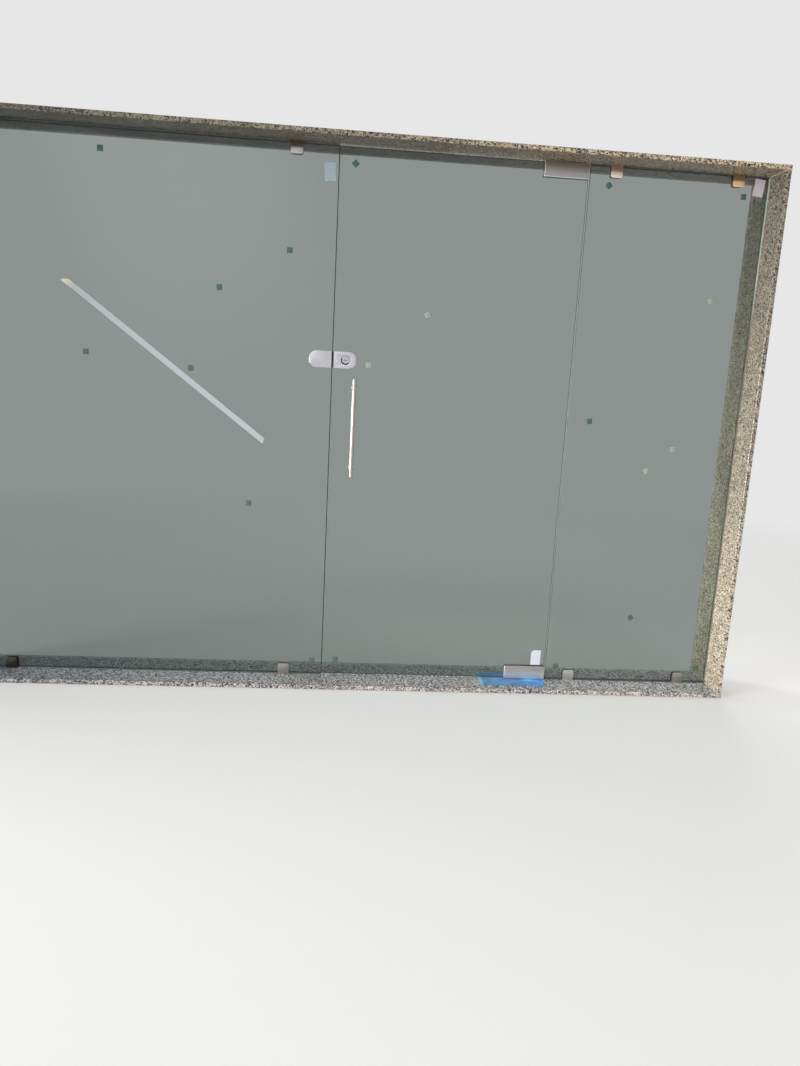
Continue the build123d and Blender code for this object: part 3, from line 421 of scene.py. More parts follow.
def granite(name, tone, painted_light_indoors, fade, dusty=False):
    """Polished granite: crystals of four colours with dark mica flecks, a fade along the slab that paints
    shade, and painted light on the stone behind the glass.
    """
    stone = bpy.context.scene.partition_stone
    make = Finish(name)
    grain = stone.grain * (stone.sill_grain if dusty else 1.0)
    polish = stone.sill_polish if dusty else stone.polish
    crystal, lightness = make.cells(grain, make.shaken(grain * 0.9, 1.0 / grain))
    ground = make.ramp(crystal, ((0.0, stone.light[:]), (0.36, stone.middle[:]), (0.64, stone.warm[:]),
                                 (0.76, stone.dark[:]), (0.90, stone.light[:])), "CONSTANT")
    fleck = make.cells(stone.fleck, make.shaken(stone.fleck * 1.3, 0.8 / stone.fleck))[0]
    is_fleck = make.ramp(fleck, ((0.0, 1.0), (0.19, 0.0)), "CONSTANT")
    body = make.mix(is_fleck, ground, stone.dark[:])
    body = make.varied(body, lightness, (0.0, 0.74), (1.0, 1.16))
    body = make.varied(body, make.noise(5.0, 4.0), (0.3, 0.88), (0.7, 1.1))
    body = make.times(body, tone)
    # Painted light: behind the glass the stone's tone is multiplied up.
    behind = make.between(make.axis("Y"), -3 * MM, 3 * MM)
    body = make.times(body, make.mix(behind, WHITE, [painted_light_indoors] * 3))
    rough = make.ramp(make.noise(9.0, 5.0), ((0.3, polish * 0.8), (0.75, polish * 1.5)))
    body = make.times(body, fade(make))
    if dusty:
        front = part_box("sill")[0].y
        near = make.between(make.axis("Y"), front + stone.dirt_reach, front + stone.dirt_full)
        patches = make.ramp(make.noise(38.0, 9.0, 0.75), ((0.6, 0.0), (0.64, 0.7)))
        film = make.ramp(make.noise(3.0, 6.0, 0.6), ((0.5, 0.0), (0.9, 0.3)))
        edge = make.math("MULTIPLY", near, patches)
        cover = make.math("MAXIMUM", edge, film)
        body = make.mix(cover, body, stone.dust[:])
        body = make.mix(near, body, make.times(body, stone.edge_dirt[:]))
        rough = make.mix(cover, rough, (0.85, 0.85, 0.85))
    body = make.mix(1.0, body, WHITE, "DARKEN")
    make.set(base_color=body, roughness=rough, specular_ior_level=0.5)
    make.bump(crystal, 0.15 * MM, 0.25)
    return make.material


def slab_fade(start, end, axis, shade, curve):
    """A painted shade fading along one axis of a slab, from this shade at the start to the full tone at the
    end.
    """
    def build(make):
        place = make.math("POWER", make.between(make.axis(axis), start, end), curve)
        return make.ramp(place, ((0.0, shade), (1.0, 1.0)))
    return build


def brightened_and_shaded(start, end, gain, dim_from, dim_to, shade):
    """A gain in brightness along X towards one end, and a painted shade towards the other."""
    def build(make):
        place = make.between(make.axis("X"), start, end)
        dim = make.between(make.axis("X"), dim_from, dim_to)
        return make.mix(dim, make.mix(place, WHITE, (gain, gain, gain)), shade)
    return build


def brush_marks(make, along):
    """Fine marks along X or Z, as brushing leaves them. They also roughen the surface."""
    scale = {"X": (3.0, 900.0, 900.0), "Z": (900.0, 900.0, 3.0)}[along]
    marks = make.noise(1.0, 3.0, 0.6, make.stretched(scale))
    make.bump(marks, 0.03 * MM, 0.35)
    return marks


def brushed(name, tone, along, streak):
    """Satin steel with fine brush marks along one axis."""
    make = Finish(name)
    marks = brush_marks(make, along)
    cloud = make.noise(22.0, 4.0, 0.6)
    body = make.varied(tone, marks, (0.25, 1.0 - streak), (0.75, 1.0 + streak * 0.6))
    body = make.varied(body, cloud, (0.3, 0.93), (0.7, 1.04))
    rough = make.math("ADD", make.math("MULTIPLY", marks, 0.16),
                      make.math("ADD", make.math("MULTIPLY", cloud, 0.12), 0.24))
    make.set(base_color=body, metallic=1.0, roughness=rough)
    return make.material


def patch_steel(name, node, tone, top_shade):
    """Satin steel of a patch cover: brushed along X, with a painted reflection that darkens it towards its
    upper edge, and a painted highlight along its other edges.
    """
    steel = bpy.context.scene.partition_steel
    make = Finish(name)
    low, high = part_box(node)
    middle = (low + high) / 2
    half = (high.x - low.x) / 2
    marks = brush_marks(make, "X")
    streaks = make.noise(1.0, 3.0, 0.6, make.stretched((5.0, 160.0, 160.0)))
    # Painted reflection: darker towards the upper edge
    height = make.math("ADD", make.between(make.axis("Z"), low.z, high.z),
                       make.math("MULTIPLY", make.math("SUBTRACT", streaks, 0.5), 0.7))
    body = make.mix(make.between(height, 0.3, 0.75), tone, top_shade)
    body = make.varied(body, marks, (0.25, 0.9), (0.75, 1.06))
    sides = make.radius(middle, (1.0, 0.0, 0.0))
    # Painted highlight along the sides and the lower edge
    rim = make.math("MAXIMUM", make.between(sides, half - steel.rim, half - steel.rim * 0.5),
                    make.between(make.axis("Z"), low.z + steel.rim, low.z + steel.rim * 0.5))
    body = make.mix(make.math("MULTIPLY", rim, 0.8), body, steel.rim_highlight[:])
    rough = make.math("ADD", make.math("MULTIPLY", marks, 0.2), 0.3)
    make.set(base_color=body, metallic=1.0, roughness=rough)
    return make.material


def lock_steel(name):
    """Bright satin steel of the lock and strike. Their ends that meet are painted black, a painted shade."""
    steel = bpy.context.scene.partition_steel
    make = Finish(name)
    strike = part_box("strike_outer_case")[1].x
    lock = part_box("lock_outer_case")[0].x
    middle = Vector(((strike + lock) / 2, 0.0, 0.0))
    away = make.radius(middle, (1.0, 0.0, 0.0))
    # Painted shade at the ends that meet
    end = (lock - strike) / 2 + steel.end_shade_width
    blend = 0.2 * MM
    inside = make.between(away, end + blend, end - blend)
    marks = brush_marks(make, "X")
    body = make.varied(steel.lock[:], marks, (0.25, 0.93), (0.75, 1.04))
    body = make.varied(body, make.noise(22.0, 4.0, 0.6), (0.3, 0.94), (0.7, 1.04))
    rough = make.mix(inside, make.ramp(marks, ((0.25, 0.22), (0.75, 0.34))), (0.9, 0.9, 0.9))
    make.set(base_color=make.mix(inside, body, steel.end_shade[:]), metallic=make.math("SUBTRACT", 1.0, inside),
             roughness=rough, specular_ior_level=0.1)
    return make.material


def clip_steel(name):
    """Satin steel of the clips, in lit and shaded copies. The upper ones are brown next to the stone and pale
    at their free end, a painted reflection.
    """
    steel = bpy.context.scene.partition_steel
    make = Finish(name)
    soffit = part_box("lintel")[0].z
    height = make.axis("Z")
    low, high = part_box("right_pane")
    upper = make.math("GREATER_THAN", height, (low.z + high.z) / 2)
    at_door = make.math("GREATER_THAN", make.axis("X"), low.x)
    at_jamb = make.math("GREATER_THAN", make.axis("X"), (low.x + high.x) / 2)
    # Painted reflection: brown next to the stone, pale at the free end
    shade = make.mix(at_jamb, make.mix(at_door, steel.wide_clip_shade[:], steel.clip_shade[:]),
                     steel.jamb_clip_shade[:])
    light = make.mix(at_jamb, make.mix(at_door, steel.wide_clip_light[:], steel.clip_light[:]),
                     steel.jamb_clip_light[:])
    # Painted light and shade: each lower clip gets its own lit or shaded tone
    lower = make.mix(make.math("SUBTRACT", at_door, at_jamb), steel.clip[:], steel.clip_bright[:])
    left_low, left_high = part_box("left_pane")
    at_left = make.math("LESS_THAN", make.axis("X"), (left_low.x + left_high.x) / 2)
    lower = make.mix(at_left, lower, steel.clip_dark[:])
    lip_top = 20 * MM
    lip_middle = 28 * MM
    free = make.between(height, soffit - lip_top, soffit - lip_middle)
    body = make.mix(upper, lower, make.mix(free, shade, light))
    marks = brush_marks(make, "Z")
    body = make.varied(body, marks, (0.25, 0.9), (0.75, 1.05))
    make.set(base_color=body, metallic=1.0, roughness=make.ramp(marks, ((0.25, 0.3), (0.75, 0.42))))
    return make.material


def plain_metal(name, tone, roughness, cast=False):
    """Machined or cast metal with a mottled surface."""
    make = Finish(name)
    mottle = make.noise(260.0 if cast else 60.0, 5.0, 0.65)
    body = make.varied(tone, mottle, (0.3, 0.86), (0.7, 1.08))
    rough = make.ramp(mottle, ((0.25, roughness * 0.8), (0.75, roughness * 1.25)))
    make.set(base_color=body, metallic=0.0 if cast else 1.0, roughness=rough)
    make.bump(mottle, 0.3 * MM if cast else 0.02 * MM, 0.4)
    return make.material


def rubbery(name, tone, roughness=0.6, shine=0.5):
    """Rubber, silicone or nylon: a slightly uneven moulded or tooled surface."""
    make = Finish(name)
    wave = make.noise(90.0, 3.0)
    body = make.varied(tone, wave, (0.3, 0.88), (0.7, 1.06))
    rough = make.ramp(wave, ((0.3, roughness * 0.85), (0.7, roughness * 1.1)))
    make.set(base_color=body, roughness=rough, specular_ior_level=shine)
    make.bump(wave, 0.3 * MM, 0.3)
    return make.material


def sealant(name):
    """Silicone: pale along the upper jambs, grey further down, dull with dirt at the sill and soffit."""
    glass = bpy.context.scene.partition_glass
    make = Finish(name)
    low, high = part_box("right_pane")
    height = make.axis("Z")
    above = make.between(height, high.z - MM, high.z)
    below = make.between(height, low.z + MM, low.z)
    turn = low.z + glass.grey_height
    lower = make.between(height, turn + glass.grey_blend, turn - glass.grey_blend)
    bead = make.mix(lower, glass.silicone[:], glass.silicone_grey[:])
    dull = make.math("MAXIMUM", above, below)
    make.set(base_color=make.mix(dull, bead, glass.silicone_dull[:]), roughness=0.45)
    make.bump(make.noise(90.0, 3.0), 0.3 * MM, 0.3)
    return make.material


def float_glass(name):
    """Toughened float glass, deep green where its edges show, its faces darker than clear glass as painted
    shade. Lamps shine through it.
    """
    glass = bpy.context.scene.partition_glass
    make = Finish(name)
    sideways = make.math("ABSOLUTE", make.axis("Y", "Normal"))
    is_edge = make.math("LESS_THAN", sideways, 0.8)
    body = make.mix(is_edge, glass.face[:], glass.edge[:])
    make.set(base_color=body, roughness=make.math("MULTIPLY", is_edge, 0.35), ior=glass.index,
             transmission_weight=make.math("SUBTRACT", 1.0, is_edge))
    through = [math.sqrt(value) for value in glass.face]
    clear = make.add("ShaderNodeBsdfTransparent", {"Color": through})
    rays = make.add("ShaderNodeLightPath")
    make.show(rays.outputs["Is Shadow Ray"], make.shader.outputs["BSDF"], clear.outputs["BSDF"])
    return make.material


def blue_film(name):
    """Blue protective film, with painted highlights along its folds, and painted highlights and shade in the
    gathers before the patch.
    """
    sheets = bpy.context.scene.partition_sheets
    make = Finish(name)
    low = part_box("cover_film")[0]
    patch_low, patch_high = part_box("bottom_patch_outer_cover")
    # Painted highlights along the folds and the folded edge
    fold = make.ramp(make.noise(40.0, 6.0, 0.65, make.stretched((0.6, 3.6, 1.0))), ((0.5, 0.0), (0.68, 0.7)))
    before_patch = 8 * MM
    bunch_radius = 20 * MM
    gathers_radius = 12 * MM
    bunch = Vector((patch_low.x * 0.35 + patch_high.x * 0.65, patch_low.y - before_patch, patch_low.z))
    near = make.between(make.radius(bunch, (0.45, 1.0, 0.0)), bunch_radius, gathers_radius)
    # Painted highlights and shade in the gathers
    gathers = make.noise(1.0, 2.0, 0.5, make.stretched((20.0, 75.0, 1.0)))
    gathered = make.ramp(gathers, ((0.3, sheets.film_gather_shade[:]), (0.42, sheets.film_bright[:])))
    dull_length = 30 * MM
    run = make.between(make.axis("X"), low.x + dull_length, patch_high.x)
    ground = make.ramp(run, ((0.1, sheets.film_dull[:]), (0.5, sheets.film[:]), (0.75, sheets.film_clean[:])))
    ground = make.mix(make.between(make.axis("Y"), -2 * MM, 2 * MM), ground, sheets.film_behind[:])
    doubled = make.between(make.axis("X"), low.x + sheets.film_fold, low.x + sheets.film_fold - 2 * MM)
    body = make.mix(make.math("MAXIMUM", fold, doubled), ground, sheets.film_fold_highlight[:])
    body = make.mix(near, body, gathered)
    body = make.varied(body, make.noise(14.0, 4.0), (0.3, 0.8), (0.7, 1.12))
    make.set(base_color=body, roughness=0.28, specular_ior_level=0.6)
    make.bump(make.noise(120.0, 5.0, 0.6), 0.5 * MM, 0.5)
    return make.material


def paper(name, tone, right_tone):
    """Plain paper with a faint fibre, in one tone at the left of the object and another at its right. On the
    pane labels both tones are painted shade.
    """
    make = Finish(name)
    fibres = make.noise(420.0, 5.0, 0.6)
    cloud = make.noise(45.0, 3.0)
    side = make.math("GREATER_THAN", make.axis("X"), 0.0)
    body = make.mix(side, tone, right_tone)
    body = make.varied(body, cloud, (0.3, 0.94), (0.7, 1.0))
    make.set(base_color=body, roughness=0.7)
    make.bump(fibres, 0.1 * MM, 0.3)
    return make.material


def strip_paper(name, low_end, high_end, half_width):
    """White adhesive strip: cross ribs with painted shade between them, a dark line along both edges and a
    yellowed loose end.
    """
    sheets = bpy.context.scene.partition_sheets
    make = Finish(name)
    along = (low_end - high_end).normalized()
    across = Vector((-along.z, 0.0, along.x))
    run = make.measured(high_end, along)
    offset = make.measured(high_end, across)
    yellowed = make.between(run, sheets.strip_yellowed, sheets.strip_full)
    body = make.mix(yellowed, sheets.strip[:], sheets.strip_cream[:])
    # Painted shade between the ribs
    ribs = make.math("SINE", make.math("MULTIPLY", run, math.tau / sheets.strip_rib))
    body = make.varied(body, make.between(ribs, -1.0, 1.0), (0.0, 0.76), (1.0, 1.0))
    line = 1.6 * MM
    side = make.between(make.math("ABSOLUTE", offset), half_width - 2 * line, half_width - line)
    body = make.mix(side, body, sheets.strip_edge[:])
    make.set(base_color=body, roughness=0.45)
    make.bump(ribs, 0.15 * MM, 0.4)
    return make.material


def turned_rose(name, centre):
    """Turned and plated rose: bright face, a cone with painted shade on its lower left, fine rings from the
    lathe.
    """
    steel = bpy.context.scene.partition_steel
    make = Finish(name)
    radius = make.radius(centre, (1.0, 0.0, 1.0))
    ring = 0.6 * MM
    face_radius = 12.6 * MM
    rings = make.math("SINE", make.math("MULTIPLY", radius, math.tau / ring))
    cone = make.between(radius, face_radius, face_radius + ring)
    # Painted shade on the cone's lower left side
    upper_right = Vector((0.55, 0.0, 0.83))
    below = make.between(make.measured(centre, upper_right), 3 * MM, -6 * MM)
    side = make.mix(below, steel.rose[:], steel.rose_shade[:])
    body = make.mix(cone, steel.lock[:], side)
    body = make.varied(body, make.noise(120.0, 4.0), (0.3, 0.9), (0.7, 1.05))
    make.set(base_color=body, metallic=1.0, roughness=make.ramp(cone, ((0.0, 0.22), (1.0, 0.36))))
    make.bump(rings, 0.02 * MM, 0.3)
    return make.material


def key_plug(name):
    """Plated key plug, its keyway painted dark, a painted shade in the recess."""
    steel = bpy.context.scene.partition_steel
    make = Finish(name)
    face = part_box("lock_key_plug")[0].y
    shallow = 0.6 * MM
    deep = 1.4 * MM
    # Painted shade in the keyway
    inside = make.between(make.axis("Y"), face + shallow, face + deep)
    body = make.mix(inside, steel.lock[:], steel.rubber[:])
    body = make.varied(body, make.noise(160.0, 4.0), (0.3, 0.9), (0.7, 1.05))
    make.set(base_color=body, metallic=make.math("SUBTRACT", 1.0, inside),
             roughness=make.ramp(inside, ((0.0, 0.2), (1.0, 0.8))))
    return make.material


def foam(name, tone):
    """Thin separator pad of soft foam."""
    make = Finish(name)
    pores = make.noise(900.0, 3.0, 0.7)
    body = make.varied(tone, pores, (0.3, 0.8), (0.7, 1.15))
    make.set(base_color=body, roughness=0.8)
    make.bump(pores, 0.2 * MM, 0.5)
    return make.material


# Modelling

def only(piece):
    """Makes one piece the selected and active one."""
    bpy.ops.object.select_all(action="DESELECT")
    piece.select_set(True)
    bpy.context.view_layer.objects.active = piece


def edit(piece):
    """Starts shaping a piece, with everything on it selected."""
    only(piece)
    bpy.ops.object.mode_set(mode="EDIT")
    bpy.ops.mesh.select_all(action="SELECT")


def done():
    """Stops shaping."""
    bpy.ops.object.mode_set(mode="OBJECT")


def pick(piece, kind, wanted):
    """Selects only the vertices, edges or faces of a piece that pass a test, and returns to shaping."""
    bpy.ops.mesh.select_all(action="DESELECT")
    bpy.ops.mesh.select_mode(type={"vertices": "VERT", "edges": "EDGE", "polygons": "FACE"}[kind])
    done()
    for element in getattr(piece.data, kind):
        element.select = wanted(element)
    bpy.ops.object.mode_set(mode="EDIT")


def apply_all(piece):
    """Applies every modifier of a piece."""
    only(piece)
    for modifier in list(piece.modifiers):
        bpy.ops.object.modifier_apply(modifier=modifier.name)


def finish_piece(piece, material, node):
    """Gives a finished piece its surface, hides the node it stands for, and hangs it on the body it rides on.
    """
    piece.data.materials.clear()
    piece.data.materials.append(material)
    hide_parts(node)
    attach(piece, BODY_OF[node])


def copy_of(node, name):
    """A merged copy of a node, its flat faces whole, to be shaped further."""
    piece = bpy.data.objects.new(name, NODES[node].data.copy())
    piece.data.name = name
    bpy.context.scene.collection.objects.link(piece)
    only(piece)
    bpy.ops.mesh.customdata_custom_splitnormals_clear()
    edit(piece)
    bpy.ops.mesh.remove_doubles(threshold=SAME_PLACE)
    bpy.ops.mesh.dissolve_limited(angle_limit=FLAT)
    done()
    return piece


def soften(piece, radius, segments=2):
    """Rounds the sharp edges of a piece, and shades the rest smooth."""
    bevel = piece.modifiers.new("soft_edges", "BEVEL")
    bevel.limit_method = "ANGLE"
    bevel.angle_limit = SHARP_EDGE
    bevel.width = radius
    bevel.segments = segments
    apply_all(piece)
    bpy.ops.object.shade_smooth_by_angle(angle=SMOOTH_METAL)


def softened(node, material, radius, segments=2):
    """Remakes a node with softly rounded edges."""
    piece = copy_of(node, node + "_finished")
    soften(piece, radius, segments)
    finish_piece(piece, material, node)


def straight_bar(name, x, y, z, radius, material, neighbour):
    """Straight bar between its ends along each axis, that rides with a neighbour."""
    bpy.ops.object.select_all(action="DESELECT")
    bpy.ops.mesh.primitive_cube_add(size=1.0)
    bar = bpy.context.active_object
    bar.name = name
    bar.data.name = name
    edit(bar)
    bpy.ops.transform.resize(value=(x[1] - x[0], y[1] - y[0], z[1] - z[0]))
    bpy.ops.transform.translate(value=((x[0] + x[1]) / 2, (y[0] + y[1]) / 2, (z[0] + z[1]) / 2))
    done()
    soften(bar, radius)
    bar.data.materials.append(material)
    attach(bar, BODY_OF[neighbour])


def slice_up(origin, direction, pitch, reach):
    """Cuts the sheet being shaped into bands of equal width, so that it can bend."""
    count = int(reach / pitch)
    for step in range(1, count + 1):
        bpy.ops.mesh.select_all(action="SELECT")
        bpy.ops.mesh.bisect(plane_co=origin + direction * step * pitch, plane_no=direction)


def ruffle(piece, name, height, width, middle):
    """Raises an upright sheet in soft uneven folds of about this height and width."""
    texture = bpy.data.textures.new(name, "CLOUDS")
    texture.noise_scale = width
    texture.noise_depth = 2
    folds = piece.modifiers.new(name, "DISPLACE")
    folds.texture = texture
    folds.texture_coords = "LOCAL"
    folds.direction = "Y"
    folds.mid_level = middle
    folds.strength = height
    apply_all(piece)


def thicken(piece, thickness, offset):
    """Gives a sheet its thickness."""
    layer = piece.modifiers.new("thickness", "SOLIDIFY")
    layer.thickness = thickness
    layer.offset = offset
    apply_all(piece)
    bpy.ops.object.shade_smooth_by_angle(angle=SMOOTH_SHEET)


def front_sheet(node, name):
    """The front faces of a flat node, ready to be cut into bands."""
    piece = copy_of(node, name)
    edit(piece)
    pick(piece, "polygons", lambda face: face.normal.y > -0.9)
    bpy.ops.mesh.delete(type="FACE")
    return piece


# Operators

class PARTITION_OT_stone(bpy.types.Operator):
    """Finish the four slabs of the lining in polished granite"""
    bl_idname = "partition.stone"
    bl_label = "Stone lining"

    def execute(self, context):
        stone = context.scene.partition_stone
        low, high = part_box("lintel")
        # Paler towards the sill's right end, and painted shade towards its left end
        gradient = brightened_and_shaded(high.x - stone.gain_start, high.x - stone.gain_full, stone.sill_gain,
                          low.x + stone.sill_shade_reach, low.x, stone.sill_shade[:])
        sill = granite("granite_sill", stone.sill_tone[:], stone.painted_light_indoors, gradient, dusty=True)
        dress(sill, "granite", "sill")
        # Painted shade, darker towards the lintel's left end
        fade = slab_fade(low.x, high.x - stone.lintel_full, "X", stone.lintel_shade[:], stone.lintel_curve)
        lintel = granite("granite_lintel", stone.lintel_tone[:], stone.painted_light_indoors, fade)
        dress(lintel, "granite", "lintel")
        # Painted shade, darker towards the jambs' top
        fade = slab_fade(high.z, stone.jamb_foot, "Z", 1.0 - stone.jamb_painted_shade, stone.jamb_curve)
        jambs = granite("granite_jambs", stone.jamb_tone[:], stone.jamb_painted_light_indoors, fade)
        dress(jambs, "granite", "left_jamb", "right_jamb")
        self.point_corners(stone)
        return {"FINISHED"}

    def point_corners(self, stone):
        """Mortar along the two upper inner corners, from the front edge to the glass."""
        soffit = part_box("lintel")[0].z
        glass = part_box("right_pane")[0].y
        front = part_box("right_jamb")[0].y
        mortar = rubbery("corner_mortar", stone.mortar[:], roughness=0.8)
        set_back = 2 * MM
        depth = (front + set_back, glass - set_back)
        height = (soffit - stone.mortar_width, soffit)
        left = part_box("left_jamb")[1].x
        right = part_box("right_jamb")[0].x
        corners = {"left_corner_mortar": (left, left + stone.mortar_width),
                   "right_corner_mortar": (right - stone.mortar_width, right)}
        for name, across in corners.items():
            straight_bar(name, across, depth, height, stone.mortar_width * 0.35, mortar, "lintel")


class PARTITION_OT_glass(bpy.types.Operator):
    """Finish the three panes and their silicone"""
    bl_idname = "partition.glass"
    bl_label = "Glass and silicone"

    def execute(self, context):
        dress(float_glass("float_glass"), "glass", "left_pane", "right_pane", "door_pane")
        dress(sealant("silicone"), "silicone", "left_pane_sealant", "right_pane_sealant")
        return {"FINISHED"}


class PARTITION_OT_hardware(bpy.types.Operator):
    """Finish the clips, patch fittings, lock, floor spring and handles"""
    bl_idname = "partition.hardware"
    bl_label = "Steel hardware"

    def execute(self, context):
        steel = context.scene.partition_steel
        plate = brushed("cover_steel", steel.cover[:], "X", streak=0.1)
        softened("floor_spring_cover", plate, steel.edge)
        # The top patch's tones are a shaded copy of the bottom patch's, painted shade
        tones = {"bottom_patch": (steel.cover[:], steel.cover_top[:]),
                 "top_patch": (steel.upper_cover[:], steel.upper_cover_top[:])}
        for patch, (tone, top_shade) in tones.items():
            cover = patch_steel(patch + "_steel", patch + "_outer_cover", tone, top_shade)
            for side in ("outer", "inner"):
                softened(patch + "_" + side + "_cover", cover, steel.edge)
        clips = clip_steel("clip_steel")
        for node in ("left_pane_clips", "right_pane_clips"):
            softened(node, clips, steel.clip_edge, segments=3)
        case = lock_steel("lock_steel")
        for node in ("lock_outer_case", "lock_inner_case", "strike_outer_case", "strike_inner_case"):
            softened(node, case, steel.edge)
        low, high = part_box("lock_key_plug")
        rose = turned_rose("turned_rose", (low + high) / 2)
        softened("lock_cylinder", rose, steel.edge)
        knob = plain_metal("turned_steel", steel.lock[:], roughness=0.2)
        softened("lock_thumb_turn", knob, steel.edge)
        bar = brushed("handle_steel", steel.handle[:], "Z", streak=0.08)
        for node in ("outer_handle", "inner_handle"):
            softened(node, bar, steel.edge)
        self.make_joint_shades(steel)
        self.dress_inner_parts(steel)
        return {"FINISHED"}

    def make_joint_shades(self, steel):
        """Dark strips on the wide pane's closing edge, and black rubber buffers where the lock meets its
        strike, both painted shade in the joints.
        """
        pane_low, pane_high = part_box("left_pane")
        strike_low, strike_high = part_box("strike_outer_case")
        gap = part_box("door_pane")[0].x - pane_high.x
        across = (pane_high.x, pane_high.x + gap * steel.joint_shade_share)
        set_back = 2 * MM
        in_pane = (pane_low.y + set_back, pane_high.y - set_back)
        before = (strike_low.y + set_back, strike_high.y - MM)
        behind = (-before[1], -before[0])
        # Dark strips in the closing joint, painted shade
        seal = rubbery("closing_seal", steel.seal[:])
        # Black buffers in the lock's gap, painted shade
        rubber = rubbery("buffer_rubber", steel.end_shade[:], roughness=0.9, shine=0.1)
        beside_strike = (strike_low.z + MM, strike_high.z - MM)
        bars = (("lower_seal", in_pane, (pane_low.z + MM, strike_low.z), seal),
                ("upper_seal", in_pane, (strike_high.z, pane_high.z - MM), seal),
                ("outer_buffer", before, beside_strike, rubber),
                ("inner_buffer", behind, beside_strike, rubber))
        for name, depth, height, material in bars:
            straight_bar(name, across, depth, height, 0.8 * MM, material, "left_pane")

    def dress_inner_parts(self, steel):
        """The parts inside the fittings, the screws, the gaskets and the floor spring's case."""
        dress(key_plug("key_plug_plating"), "plug_metal", "lock_key_plug")
        dress(plain_metal("machined_steel", steel.inner[:], roughness=0.32), "machined_steel",
              "floor_spring_spindle", "lock_bolt", "handle_bolts", "top_pivot_pin", "strike_box",
              "lock_body")
        dress(plain_metal("screw_plating", steel.inner[:], roughness=0.28), "screw_steel", "clip_screws",
              "floor_spring_screws", "bottom_patch_screws", "top_patch_screws", "top_pivot_screws",
              "lock_screws", "strike_screws")
        dress(plain_metal("clamp_alloy", steel.inner[:], roughness=0.45), "clamp_alloy",
              "bottom_patch_outer_half", "bottom_patch_inner_half", "top_patch_outer_half",
              "top_patch_inner_half", "bottom_patch_arm", "top_patch_socket", "top_pivot_plate")
        dress(plain_metal("closer_casting", steel.iron[:], roughness=0.6, cast=True), "closer_iron",
              "floor_spring_body")
        dress(plain_metal("case_plating", steel.inner[:], roughness=0.5), "case_steel",
              "floor_spring_case")
        dress(rubbery("black_rubber", steel.rubber[:]), "black_rubber", "clip_gaskets",
              "bottom_patch_gaskets", "top_patch_gaskets", "lock_gaskets", "strike_gaskets")
        dress(rubbery("white_nylon", steel.nylon[:], roughness=0.4), "nylon", "handle_washers",
              "top_patch_bush")


